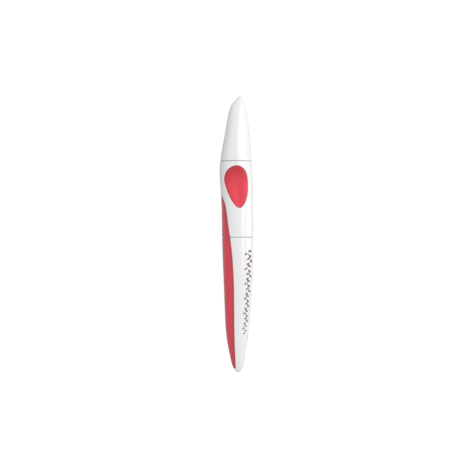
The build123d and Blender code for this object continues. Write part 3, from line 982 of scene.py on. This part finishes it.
def make_pads():
    """Two teardrop pads, dished in the middle, on opposite sides of the section."""
    shape = bpy.context.scene.pen_shape
    outline = pad_outline(150, -(LIP + SEAM))
    spots, faces = fill(outline, [], 0.3 * MM)
    depth = nearest(spots, pad_outline(600, -(LIP + SEAM)))
    share = np.clip(depth / (0.5 * (outline[:, 0].max() - outline[:, 0].min())), 0, 1)
    dish = shape.pad_dish * (1 - (1 - share) ** 2) ** 1.5
    turns = turn_of(spots[:, 0], spots[:, 1])
    for name, side, cad_node in (("thumb_rest", 1, "thumb_pad"), ("finger_rest", -1, "finger_pad")):
        points = skin(spots[:, 1], side * turns, PAD_RECESS + dish)
        pad = panel(name, points, faces, PAD_SHEET, LIP, finish_named("coral_pad"))
        # painted shade: each pad darkens towards its round top at the cap end, standing in for the
        # shading of its dish
        write_painted_shade(pad, lambda x, y, z: np.clip((y - PAD_TIP_Y) / PAD_LENGTH * 2.2 - 1.2, 0, 1) ** 1.2)
        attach(pad, "section")
        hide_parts(cad_node)


def belly_strip(name, y_low, y_high, rows, body, cad_node):
    """One piece of the coral belly, between two places on the pen."""
    shift = -(LIP + SEAM)
    angles = np.linspace(sweep_angle(y_low), sweep_angle(y_high), rows)
    ys = place_of(angles)
    spots, faces = strip(
        ys,
        lambda y: belly_turn(y, shift),
        lambda y: 2 * math.pi - belly_turn(y, shift),
        60,
    )
    points = skin(spots[:, 1], spots[:, 0])
    belly = panel(name, points, faces, INLAY_DEPTH, LIP, finish_named("coral_shell"))
    # painted shade: the belly darkens within 1.6 mm of its edge on the white side
    write_painted_shade(belly, lambda x, y, z: np.clip(1 - (belly_edge(-y) - x) / (1.6 * MM), 0, 1))
    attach(belly, body)
    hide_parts(cad_node)


def make_belly():
    """The coral belly in the section and in the barrel."""
    gap = LIP + SEAM
    apex = BELLY_APEX_Y - 2 * gap
    end = BELLY_END_Y + gap
    belly_strip("section_belly", REAR_RING_HIGH + LIP, apex, 60, "section", "section_inlay")
    belly_strip("barrel_belly", end, REAR_RING_LOW - LIP, 150, "barrel", "barrel_inlay")


def make_trim_rings():
    """The two grey rings that show as the pen's seams."""
    bore = half_span("section_core")
    for name, low, high in (
        ("front_ring", FRONT_RING_LOW, FRONT_RING_HIGH),
        ("rear_ring", REAR_RING_LOW, REAR_RING_HIGH),
    ):
        edge_a = mouth_lip(low, -1, RING_INSET, RING_LIP)
        edge_b = mouth_lip(high, 1, RING_INSET, RING_LIP)
        rings = [round_ring(bore, high), round_ring(bore, low), *reversed(edge_a), *edge_b]
        ring = loft(name + "_trim", rings, finish_named("grey_trim"))
        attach(ring, "section")
        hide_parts(name)


def thread_ridge(name, radius, inwards, start_y, material):
    """A thread ridge on a wall of that radius, running towards the tail from start_y."""
    shape = bpy.context.scene.pen_shape
    length = shape.thread_turns * shape.thread_pitch
    height = 0.65 * MM
    middle = radius + (-1 if inwards else 1) * (height / 2 - 0.1 * MM)
    values = {
        "Radius": middle,
        "Turns": shape.thread_turns,
        "Length": length,
        "Foot": 1.1 * MM,
        "Crest": 0.6 * MM,
        "Height": height,
        "Profile Turn": math.pi / 2 if inwards else -math.pi / 2,
    }
    ridge = grow(name, point_mesh(name, [(0, 0, 0)]), thread_tree(), values, material)
    mesh = ridge.data
    place = np.zeros(len(mesh.vertices) * 3)
    mesh.vertices.foreach_get("co", place)
    x, y, z = place.reshape(-1, 3).T
    # the helix stands on Z: lay it along Y, keeping it right-handed
    laid = np.stack([x, start_y - length + z, AXIS_Z - y], -1)
    mesh.vertices.foreach_set("co", laid.ravel())
    mesh.update()
    return ridge


def make_core():
    """The section's core: collar with its click bead, tube and male thread."""
    shape = bpy.context.scene.pen_shape
    root = THREAD_CREST - shape.thread_height
    collar, nose = COLLAR_RADIUS, COLLAR_NOSE_RADIUS
    seam, socket = FRONT_RING_HIGH, CARTRIDGE_RADIUS + 0.2 * MM
    channel, feed_end = FEED_RADIUS + 0.3 * MM, FEED_REAR_Y
    socket_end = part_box("cartridge")[1].y + 0.08 * MM
    bead = seam + 3.7 * MM
    soft = 0.25 * MM
    profile = [
        (socket, CORE_REAR_Y, 0.3 * MM),
        (root, CORE_REAR_Y, 0.3 * MM),
        (root, seam, 0.05 * MM),
        (collar, seam, 0.05 * MM),
        (collar, bead - 0.5 * MM, soft),
        (collar + 0.12 * MM, bead, soft),
        (collar, bead + 0.5 * MM, soft),
        (collar, seam + 5.2 * MM, 1.2 * MM),
        (nose, COLLAR_NOSE_Y, 0.4 * MM),
        (channel, COLLAR_NOSE_Y, 0.2 * MM),
        (channel, feed_end, 0),
        (TUBE_RADIUS, feed_end, 0),
        (TUBE_RADIUS, socket_end, 0),
        (socket, socket_end, 0),
    ]
    core = lathe("core_tube", profile, finish_named("core_white"))
    start = REAR_RING_LOW - shape.thread_plain
    ridge = thread_ridge("core_thread", root, False, start, finish_named("core_white"))
    for piece in (core, ridge):
        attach(piece, "section")
        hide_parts("section_core")


def underside(y):
    """Radius of the nib's underside at y."""
    share = np.clip((np.asarray(y, float) - NIB_SHOULDER_Y) / (NIB_TIP_Y - NIB_SHOULDER_Y), 0, 1)
    h00 = 2 * share**3 - 3 * share**2 + 1
    h11 = share**3 - share**2
    end_slope = -0.28 * (NIB_TIP_Y - NIB_SHOULDER_Y)
    return h00 * FEED_RADIUS + (1 - h00) * NIB_TIP_RISE + h11 * end_slope


def nib_outline():
    """The nib seen from above: right side as (x, y) from its heel to its tip."""
    heel, tip = 2.7 * MM, 0.4 * MM
    span = NIB_TIP_Y - NIB_SHOULDER_Y
    side = [(heel, NIB_HEEL_Y), (heel + 0.05 * MM, (NIB_HEEL_Y + COLLAR_NOSE_Y) / 2)]
    for y in np.linspace(COLLAR_NOSE_Y, NIB_SHOULDER_Y, 10):
        share = (y - COLLAR_NOSE_Y) / (NIB_SHOULDER_Y - COLLAR_NOSE_Y)
        blend = share * share * (3 - 2 * share)
        side.append((heel + 0.1 * MM + (NIB_HALF_WIDTH - heel - 0.1 * MM) * blend, y))
    for share in np.linspace(0, 1, 34)[1:]:
        h00 = 2 * share**3 - 3 * share**2 + 1
        h11 = share**3 - share**2
        x = h00 * NIB_HALF_WIDTH + (1 - h00) * tip - 0.12 * span * h11
        side.append((x, NIB_SHOULDER_Y + share * span))
    return side


def make_nib():
    """The steel nib with its slit and breather hole, and the hard ball at its tip."""
    right = nib_outline()
    slit, hole_radius = 0.06 * MM, 0.6 * MM
    hole_y = NIB_TIP_Y - 10 * MM
    turns = np.linspace(math.pi / 2 - 0.1, -1.5 * math.pi + 0.1, 34)
    hole = [(hole_radius * math.cos(t), hole_y + hole_radius * math.sin(t)) for t in turns]
    down = [(slit, y) for y in np.linspace(NIB_TIP_Y, hole_y + 1.05 * hole_radius, 30)]
    up = [(-x, y) for x, y in reversed(down)]
    heel = [(x, NIB_HEEL_Y) for x in np.linspace(-right[0][0], right[0][0], 18)[1:-1]]
    left = [(-x, y) for x, y in reversed(right)]
    outline = np.array(heel + right + down + hole + up + left)
    spots, faces = fill(outline, [], 0.28 * MM)
    x, y = spots.T
    radius = underside(y) + 0.3 * MM
    points = np.stack([x, y, AXIS_Z + np.sqrt(np.maximum(radius**2 - x**2, 0))], -1)
    nib = panel("nib_blade", points, faces, 0.26 * MM, 0.03 * MM, finish_named("nib_steel"))
    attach(nib, "section")
    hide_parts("nib")
    bm = bmesh.new()
    bmesh.ops.create_icosphere(bm, subdivisions=4, radius=0.5 * MM)
    for vert in bm.verts:
        vert.co.y = vert.co.y * 0.9
        vert.co += Vector((0, NIB_TIP_Y - 0.02 * MM, AXIS_Z + NIB_TIP_RISE + 0.15 * MM))
    ball = new_object("nib_ball", close_up(bm, "nib_ball"), finish_named("tip_metal"))
    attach(ball, "section")
    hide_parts("nib_tip")


def make_feed():
    """The black feed with its cooling fins, and the piercing tube behind it."""
    shape = bpy.context.scene.pen_shape
    front = FEED_FRONT_Y
    fins_start = COLLAR_NOSE_Y + 0.5 * shape.fin_pitch
    fins_end = fins_start + shape.fin_count * shape.fin_pitch
    stem = FEED_RADIUS - 0.9 * MM
    body = [
        (0, FEED_REAR_Y, 0),
        (FEED_RADIUS, FEED_REAR_Y, 0.3 * MM),
        (FEED_RADIUS, fins_start, 0.05 * MM),
        (stem, fins_start, 0.05 * MM),
        (min(stem, float(underside(fins_end)) - 0.2 * MM), fins_end, 0.05 * MM),
    ]
    for y in np.linspace(fins_end, front, 8):
        body.append((float(underside(y)) - 0.04 * MM, y, 0.1 * MM))
    body.append((0, front, 0))
    feed = lathe("feed_stem", body, finish_named("feed_black"))
    middles = [fins_start + (i + 0.7) * shape.fin_pitch for i in range(shape.fin_count)]
    girths = [float(underside(y + 0.35 * MM)) - 0.04 * MM for y in middles]
    seeds = point_mesh("fins", [(0, y, AXIS_Z) for y in middles], girth=girths)
    values = {"Thickness": shape.fin_thickness, "Sides": 64}
    fins = grow("feed_fins", seeds, fin_tree(), values, finish_named("feed_black"))
    for piece in (feed, fins):
        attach(piece, "section")
        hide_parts("feed")
    bore = 0.45 * MM
    profile = [
        (bore, TUBE_REAR_Y, 0.05 * MM),
        (TUBE_RADIUS - bore, TUBE_REAR_Y, 0.05 * MM),
        (TUBE_RADIUS, TUBE_REAR_Y + bore, 0.2 * MM),
        (TUBE_RADIUS, TUBE_FRONT_Y, 0),
        (bore, TUBE_FRONT_Y, 0),
    ]
    tube = lathe("ink_tube", profile, finish_named("feed_black"), 48)
    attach(tube, "section")
    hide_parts("piercing_tube")


def dress_cartridge(prefix, body, mouth_is_front):
    """One cartridge, its ball and its ink, from the places of its CAD nodes."""
    low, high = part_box(prefix + "cartridge")
    mouth, way = (high.y, -1) if mouth_is_front else (low.y, 1)
    length, wall, edge = high.y - low.y, 0.55 * MM, 0.6 * MM
    neck, neck_bore, neck_length = 2.7 * MM, TUBE_RADIUS + 0.05 * MM, 5.5 * MM
    cavity = CARTRIDGE_RADIUS - wall

    def at(distance):
        return mouth + way * distance

    profile = [
        (neck_bore, at(0), 0.1 * MM),
        (neck, at(0), 0.3 * MM),
        (neck, at(1.0 * MM), 0.1 * MM),
        (neck - 0.15 * MM, at(1.2 * MM), 0.1 * MM),
        (neck - 0.15 * MM, at(neck_length), 0.5 * MM),
        (CARTRIDGE_RADIUS, at(neck_length + 0.2 * MM), 0.8 * MM),
        (CARTRIDGE_RADIUS, at(length), 0.9 * MM),
        (0, at(length), 0),
        (0, at(length - wall), 0),
        (cavity, at(length - wall), 0.6 * MM),
        (cavity, at(neck_length + wall), 0.8 * MM),
        (neck_bore, at(neck_length), 0.2 * MM),
    ]
    shell = lathe(prefix + "cartridge_shell", profile, finish_named("cartridge_clear"))
    ink_low, ink_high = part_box(prefix + "cartridge_ink")
    ink_radius = (ink_high.x - ink_low.x) / 2 - 0.03 * MM
    ink_profile = [
        (0, ink_low.y + 0.05 * MM, 0),
        (ink_radius, ink_low.y + 0.05 * MM, edge),
        (ink_radius, ink_high.y - 0.05 * MM, edge),
        (0, ink_high.y - 0.05 * MM, 0),
    ]
    ink = lathe(prefix + "ink", ink_profile, finish_named("blue_ink"), 64)
    ball_low, ball_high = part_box(prefix + "cartridge_ball")
    bm = bmesh.new()
    bmesh.ops.create_icosphere(bm, subdivisions=4, radius=(ball_high.x - ball_low.x) / 2)
    for vert in bm.verts:
        vert.co += (ball_low + ball_high) / 2
    ball = new_object(prefix + "ball", close_up(bm, prefix + "ball"), finish_named("glass_ball"))
    for piece, cad_node, slot in (
        (shell, "cartridge", "cartridge_plastic"),
        (ink, "cartridge_ink", "ink"),
        (ball, "cartridge_ball", "glass_ball"),
    ):
        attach(piece, body)
        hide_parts(prefix + cad_node)


def make_cartridges():
    """The cartridge in use and the spare one behind it."""
    dress_cartridge("", "fitted_cartridge", True)
    dress_cartridge("spare_", "spare_cartridge", False)


def make_barrel():
    """The barrel's white panel, its lining, its threaded insert and the seal ring."""
    shape = bpy.context.scene.pen_shape
    mouth = REAR_RING_LOW
    shift = LIP + SEAM
    ys = place_of(np.linspace(sweep_angle(TAIL_Y), sweep_angle(mouth - LIP), 170))
    spots, faces = strip(ys, lambda y: -belly_turn(y, shift), lambda y: belly_turn(y, shift), AROUND)
    points = skin(spots[:, 1], spots[:, 0])
    shell = panel("barrel_skin", points, faces, INLAY_DEPTH, LIP, finish_named("white_shell"))
    floor_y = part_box("spare_cartridge")[0].y - 0.2 * MM
    shoulder = floor_y + 5.7 * MM
    socket = CARTRIDGE_RADIUS + 0.2 * MM
    bore = [round_ring(2.9 * MM, floor_y), round_ring(socket, shoulder)]
    bore += [round_ring(5.6 * MM, INSERT_REAR_Y), round_ring(INSERT_RADIUS, INSERT_REAR_Y)]
    bore += [round_ring(INSERT_RADIUS, mouth - 0.1 * MM)]
    outside = skin_rings(mouth - 0.1 * MM, TAIL_Y + 4 * MM, 90, INLAY_DEPTH + PANEL_GAP)
    back = [(TAIL_X, TAIL_Y + 3.6 * MM, AXIS_Z)]
    rings = [[(0, floor_y, AXIS_Z)], *bore, *outside, back]
    lining = loft("barrel_lining", rings, finish_named("core_white"))
    for piece in (shell, lining):
        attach(piece, "barrel")
        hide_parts("barrel_shell")
    thread_bore = INSERT_RADIUS - 0.65 * MM
    sleeve_profile = [
        (thread_bore, INSERT_FRONT_Y, 0.25 * MM),
        (INSERT_RADIUS, INSERT_FRONT_Y, 0.05 * MM),
        (INSERT_RADIUS, INSERT_REAR_Y, 0.05 * MM),
        (thread_bore, INSERT_REAR_Y, 0.2 * MM),
    ]
    sleeve = lathe("thread_sleeve", sleeve_profile, finish_named("core_white"))
    start = REAR_RING_LOW - shape.thread_plain - shape.thread_pitch / 2
    ridge = thread_ridge("sleeve_thread", thread_bore, True, start, finish_named("core_white"))
    for piece in (sleeve, ridge):
        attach(piece, "barrel")
        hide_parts("barrel_insert")
    seal_low, seal_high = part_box("barrel_seal")
    outer = (seal_high.x - seal_low.x) / 2
    soft = 0.2 * MM
    seal_profile = [
        (THREAD_CREST + 0.1 * MM, SEAL_REAR_Y, soft),
        (outer, SEAL_REAR_Y, soft),
        (outer, SEAL_FRONT_Y, soft),
        (THREAD_CREST + 0.1 * MM, SEAL_FRONT_Y, soft),
    ]
    seal = lathe("seal_ring", seal_profile, finish_named("seal_rubber"))
    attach(seal, "seal")
    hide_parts("barrel_seal")


def sprig_turn(y):
    """Middle of the printed strip round the barrel at y."""
    share = np.clip((REAR_RING_LOW - np.asarray(y, float)) / (55 * MM), 0, 1)
    return np.radians(46 + 10 * share**0.7)


def sprig_point(y, across, lift):
    """A point of the print: across is its distance from the strip's middle."""
    turn = sprig_turn(y) + across / (7.5 * MM)
    return skin(y, turn, -lift)


def make_print():
    """A generic printed sprig on the barrel: a waving stem with leaves and berries."""
    shape = bpy.context.scene.pen_shape
    start, end = REAR_RING_LOW - 6.0 * MM, REAR_RING_LOW - 49 * MM
    wave = shape.sprig_wave

    def sway(y):
        fade = 1 - 0.45 * (start - y) / (start - end)
        return fade * shape.sprig_sway * np.sin(2 * math.pi * (start - y) / wave)

    ys = np.linspace(start, end, 420)
    half = 0.2 * MM
    rings = []
    for i, y in enumerate(ys):
        fade = min(1.0, (len(ys) - i) / 60, (i + 6) / 30)
        left = sprig_point(y, sway(y) - half * fade, 0.012 * MM)
        right = sprig_point(y, sway(y) + half * fade, 0.012 * MM)
        low_right = sprig_point(y, sway(y) + half * fade, -0.03 * MM)
        low_left = sprig_point(y, sway(y) - half * fade, -0.03 * MM)
        rings.append([left, right, low_right, low_left])
    rings.insert(0, [sprig_point(ys[0] + 0.05 * MM, sway(ys[0]), 0)])
    rings.append([sprig_point(ys[-1] - 0.3 * MM, sway(ys[-1]), 0)])
    ink = finish_named("print_rose")
    stem = loft("sprig_stem", rings, ink)
    spots, headings, outwards, sizes = [], [], [], []
    leaf_count = int(2 * (start - end) / wave * shape.leaves_per_wave)
    for i in range(leaf_count):
        y = start - (i + 0.5) * (start - end) / leaf_count
        side = 1 if i % 2 else -1
        fade = 1 - 0.3 * i / leaf_count
        lean = side * 0.8 * MM * fade
        middle = sprig_point(y - 0.35 * MM, sway(y) + lean, 0.012 * MM)
        root = sprig_point(y + 0.1 * MM, sway(y), 0.012 * MM)
        normal = sprig_point(y, sway(y) + lean, 0.2 * MM) - sprig_point(y, sway(y) + lean, 0)
        spots.append(middle)
        headings.append(middle - root)
        outwards.append(normal)
        sizes.append(1.25 * MM * fade)
    seeds = point_mesh("leaves", spots, heading=headings, outward=outwards, size=sizes)
    leaves = grow("sprig_leaves", seeds, sprig_tree(), {"Slimness": 0.46}, ink)
    spots, headings, outwards, sizes = [], [], [], []
    for i in range(leaf_count // 2):
        y = start - (i + 0.25) * 2 * (start - end) / leaf_count
        fade = 1 - 0.5 * 2 * i / leaf_count
        across = -sway(y) * 0.6 + (1.2 * MM * fade if sway(y) < 0 else -1.2 * MM * fade)
        spots.append(sprig_point(y, across, 0.012 * MM))
        headings.append((0, 1, 0))
        outwards.append(sprig_point(y, across, 0.2 * MM) - sprig_point(y, across, 0))
        sizes.append(0.26 * MM * fade)
    seeds = point_mesh("berries", spots, heading=headings, outward=outwards, size=sizes)
    berries = grow("sprig_berries", seeds, sprig_tree(), {"Slimness": 1.0, "Film": 0.08}, ink)
    for piece in (stem, leaves, berries):
        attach(piece, "barrel")


def softbox(name, tilt, turn, distance, size, power):
    """A soft rectangular light: tilt from overhead, turn round the vertical from +X, in degrees."""
    tilt, turn = math.radians(tilt), math.radians(turn)
    way = Vector((math.sin(tilt) * math.cos(turn), math.sin(tilt) * math.sin(turn), math.cos(tilt)))
    lamp = bpy.data.lights.new(name, "AREA")
    lamp.shape = "RECTANGLE"
    lamp.size, lamp.size_y = size
    lamp.energy = power
    made = bpy.data.objects.new(name, lamp)
    made.location = way * distance
    made.rotation_euler = (-way).to_track_quat("-Z", "Y").to_euler()
    bpy.context.scene.collection.objects.link(made)


def make_stage():
    """Table, soft lights, world and the camera that looks straight down."""
    stage = bpy.context.scene.pen_stage
    half = 2.5
    mesh = bpy.data.meshes.new("table")
    corners = [(-half, -half, 0), (half, -half, 0), (half, half, 0), (-half, half, 0)]
    mesh.from_pydata(corners, [], [(0, 1, 2, 3)])
    mesh.materials.append(finish_named("table_white"))
    table = bpy.data.objects.new("table", mesh)
    bpy.context.scene.collection.objects.link(table)
    own_light = bpy.data.collections.new("table_light_receivers")
    own_light.objects.link(table)
    table.light_linking.receiver_collection = own_light
    world = bpy.data.worlds.new("studio")
    world.use_nodes = True
    world.node_tree.nodes["Background"].inputs["Color"].default_value = (1, 1, 1, 1)
    world.node_tree.nodes["Background"].inputs["Strength"].default_value = stage.sky
    bpy.context.scene.world = world
    softbox("key_softbox", 38, 38, 0.8, (0.5, 0.8), stage.key_power)
    softbox("rim_strip", 75, 0, 0.8, (0.14, 0.9), stage.strip_power)
    camera = bpy.data.cameras.new("camera")
    camera.lens = stage.lens
    camera.sensor_width = 36
    camera.dof.use_dof = False
    eye = bpy.data.objects.new("camera", camera)
    distance = stage.view_width * camera.lens / camera.sensor_width
    middle = Vector(stage.view_middle)
    eye.location = (middle.x, middle.y, AXIS_Z + distance)
    camera.clip_start, camera.clip_end = 0.01, 10
    bpy.context.scene.collection.objects.link(eye)
    bpy.context.scene.camera = eye
    bpy.context.scene.view_settings.view_transform = "Standard"


# ================================================================ settings
class PenShape(bpy.types.PropertyGroup):
    """Sizes of the pen's details."""

    cap_wall: bpy.props.FloatProperty(
        name="Cap Wall", description="Least thickness of the cap", default=1.25 * MM, unit="LENGTH"
    )
    pad_dish: bpy.props.FloatProperty(
        name="Pad Dish", description="Depth of the hollow in each pad", default=0.75 * MM, unit="LENGTH"
    )
    thread_pitch: bpy.props.FloatProperty(
        name="Thread Pitch", description="Advance in one turn", default=2.4 * MM, unit="LENGTH"
    )
    thread_turns: bpy.props.FloatProperty(
        name="Thread Turns", description="Turns of the barrel's thread", default=2.5
    )
    thread_height: bpy.props.FloatProperty(
        name="Thread Height", description="Height of the ridge", default=0.55 * MM, unit="LENGTH"
    )
    thread_plain: bpy.props.FloatProperty(
        name="Plain Length", description="From the seam to the thread", default=1.9 * MM, unit="LENGTH"
    )
    fin_count: bpy.props.IntProperty(name="Fins", description="Fins on the feed", default=9)
    fin_pitch: bpy.props.FloatProperty(
        name="Fin Pitch", description="Distance from fin to fin", default=1.15 * MM, unit="LENGTH"
    )
    fin_thickness: bpy.props.FloatProperty(
        name="Fin Thickness", description="Thickness of a fin", default=0.62 * MM, unit="LENGTH"
    )
    sprig_wave: bpy.props.FloatProperty(
        name="Sprig Wave", description="Length of one wave of the stem", default=7.5 * MM, unit="LENGTH"
    )
    sprig_sway: bpy.props.FloatProperty(
        name="Sprig Sway", description="How far the stem sways", default=0.8 * MM, unit="LENGTH"
    )
    leaves_per_wave: bpy.props.IntProperty(
        name="Leaves per Wave", description="Pairs of leaves on each wave", default=3
    )


class PenColours(bpy.types.PropertyGroup):
    """Colours of the pen's plastics."""

    shell: bpy.props.FloatVectorProperty(
        name="Shell", description="White of the shells", default=(0.8, 0.8, 0.805), subtype="COLOR"
    )
    coral: bpy.props.FloatVectorProperty(
        name="Belly", description="Coral of the belly", default=(0.74, 0.036, 0.064), subtype="COLOR"
    )
    pad: bpy.props.FloatVectorProperty(
        name="Pads", description="Coral of the pads", default=(0.74, 0.036, 0.062), subtype="COLOR"
    )
    trim: bpy.props.FloatVectorProperty(
        name="Trim", description="Grey of the rings", default=(0.52, 0.53, 0.54), subtype="COLOR"
    )
    print_ink: bpy.props.FloatVectorProperty(
        name="Print", description="Ink of the sprig", default=(0.2, 0.09, 0.1), subtype="COLOR"
    )


class PenStage(bpy.types.PropertyGroup):
    """Lights, table and camera."""

    sky: bpy.props.FloatProperty(name="Sky", description="Light from all round", default=0.7)
    key_power: bpy.props.FloatProperty(
        name="Key Softbox", description="Power of the large light, high on the right", default=3.0
    )
    strip_power: bpy.props.FloatProperty(
        name="Rim Strip", description="Power of the narrow light, low on the right", default=1.3
    )
    floor_colour: bpy.props.FloatVectorProperty(
        name="Table", description="Colour of the table", default=(0.5, 0.5, 0.5), subtype="COLOR"
    )
    table_glow: bpy.props.FloatProperty(
        name="Table Glow", description="Light that the backlit table gives off", default=0.8
    )
    lens: bpy.props.FloatProperty(name="Lens", description="Focal length in mm", default=150.0)
    view_width: bpy.props.FloatProperty(
        name="View Width", description="Width that the picture shows", default=0.2411, unit="LENGTH"
    )
    view_middle: bpy.props.FloatVectorProperty(
        name="View Middle", description="Point under the camera", default=(-0.00093, -0.00046, 0)
    )


# ================================================================ operators
class PEN_OT_stage(bpy.types.Operator):
    """Table, soft lights, world and camera."""

    bl_idname = "pen.stage"
    bl_label = "Build Stage"

    def execute(self, context):
        make_stage()
        return {"FINISHED"}


class PEN_OT_cap(bpy.types.Operator):
    """The cap and the milky inner cap that seals the nib."""

    bl_idname = "pen.cap"
    bl_label = "Build Cap"

    def execute(self, context):
        make_cap()
        make_liner()
        return {"FINISHED"}


class PEN_OT_grip(bpy.types.Operator):
    """The white shell of the section with its lining."""

    bl_idname = "pen.grip"
    bl_label = "Build Grip"

    def execute(self, context):
        make_grip()
        return {"FINISHED"}


class PEN_OT_pads(bpy.types.Operator):
    """The two soft teardrop pads that the fingers rest on."""

    bl_idname = "pen.pads"
    bl_label = "Build Pads"

    def execute(self, context):
        make_pads()
        return {"FINISHED"}


class PEN_OT_belly(bpy.types.Operator):
    """The coral belly, in the section and in the barrel."""

    bl_idname = "pen.belly"
    bl_label = "Build Belly"

    def execute(self, context):
        make_belly()
        return {"FINISHED"}


class PEN_OT_trim_rings(bpy.types.Operator):
    """The two grey rings in the seams."""

    bl_idname = "pen.trim_rings"
    bl_label = "Build Trim Rings"

    def execute(self, context):
        make_trim_rings()
        return {"FINISHED"}


class PEN_OT_core(bpy.types.Operator):
    """The section's inner tube with its collar and thread."""

    bl_idname = "pen.core"
    bl_label = "Build Core"

    def execute(self, context):
        make_core()
        return {"FINISHED"}


class PEN_OT_nib(bpy.types.Operator):
    """The steel nib and the hard ball at its tip."""

    bl_idname = "pen.nib"
    bl_label = "Build Nib"

    def execute(self, context):
        make_nib()
        return {"FINISHED"}


class PEN_OT_feed(bpy.types.Operator):
    """The finned feed and the tube that pierces the cartridge."""

    bl_idname = "pen.feed"
    bl_label = "Build Feed"

    def execute(self, context):
        make_feed()
        return {"FINISHED"}


class PEN_OT_cartridges(bpy.types.Operator):
    """The fitted cartridge and the spare one."""

    bl_idname = "pen.cartridges"
    bl_label = "Build Cartridges"

    def execute(self, context):
        make_cartridges()
        return {"FINISHED"}


class PEN_OT_barrel(bpy.types.Operator):
    """The barrel, its threaded sleeve and its seal."""

    bl_idname = "pen.barrel"
    bl_label = "Build Barrel"

    def execute(self, context):
        make_barrel()
        return {"FINISHED"}


class PEN_OT_print(bpy.types.Operator):
    """The printed sprig on the barrel."""

    bl_idname = "pen.print"
    bl_label = "Build Print"

    def execute(self, context):
        make_print()
        return {"FINISHED"}


class PEN_PT_builder(bpy.types.Panel):
    """Lists the builders and the settings in the 3D view's sidebar."""

    bl_idname = "PEN_PT_builder"
    bl_label = "School Fountain Pen"
    bl_space_type = "VIEW_3D"
    bl_region_type = "UI"
    bl_category = "Pen"

    def draw(self, context):
        for builder in BUILDERS:
            self.layout.operator(builder.bl_idname)
        for group in ("pen_shape", "pen_colours", "pen_stage"):
            settings = getattr(context.scene, group)
            box = self.layout.box()
            for title in settings.__annotations__:
                box.prop(settings, title)


BUILDERS = (
    PEN_OT_stage,
    PEN_OT_cap,
    PEN_OT_grip,
    PEN_OT_pads,
    PEN_OT_belly,
    PEN_OT_trim_rings,
    PEN_OT_core,
    PEN_OT_nib,
    PEN_OT_feed,
    PEN_OT_cartridges,
    PEN_OT_barrel,
    PEN_OT_print,
)
CLASSES = (PenShape, PenColours, PenStage, *BUILDERS, PEN_PT_builder)


def register():
    """Registers the settings, the operators and the panel."""
    for each in CLASSES:
        bpy.utils.register_class(each)
    bpy.types.Scene.pen_shape = bpy.props.PointerProperty(type=PenShape)
    bpy.types.Scene.pen_colours = bpy.props.PointerProperty(type=PenColours)
    bpy.types.Scene.pen_stage = bpy.props.PointerProperty(type=PenStage)


def unregister():
    """Removes everything that register added."""
    del bpy.types.Scene.pen_stage
    del bpy.types.Scene.pen_colours
    del bpy.types.Scene.pen_shape
    for each in reversed(CLASSES):
        bpy.utils.unregister_class(each)


def main():
    """Builds the whole scene."""
    register()
    bpy.ops.pen.stage()
    bpy.ops.pen.cap()
    bpy.ops.pen.grip()
    bpy.ops.pen.pads()
    bpy.ops.pen.belly()
    bpy.ops.pen.trim_rings()
    bpy.ops.pen.core()
    bpy.ops.pen.nib()
    bpy.ops.pen.feed()
    bpy.ops.pen.cartridges()
    bpy.ops.pen.barrel()
    bpy.ops.pen.print()


if __name__ == "__main__":
    main()
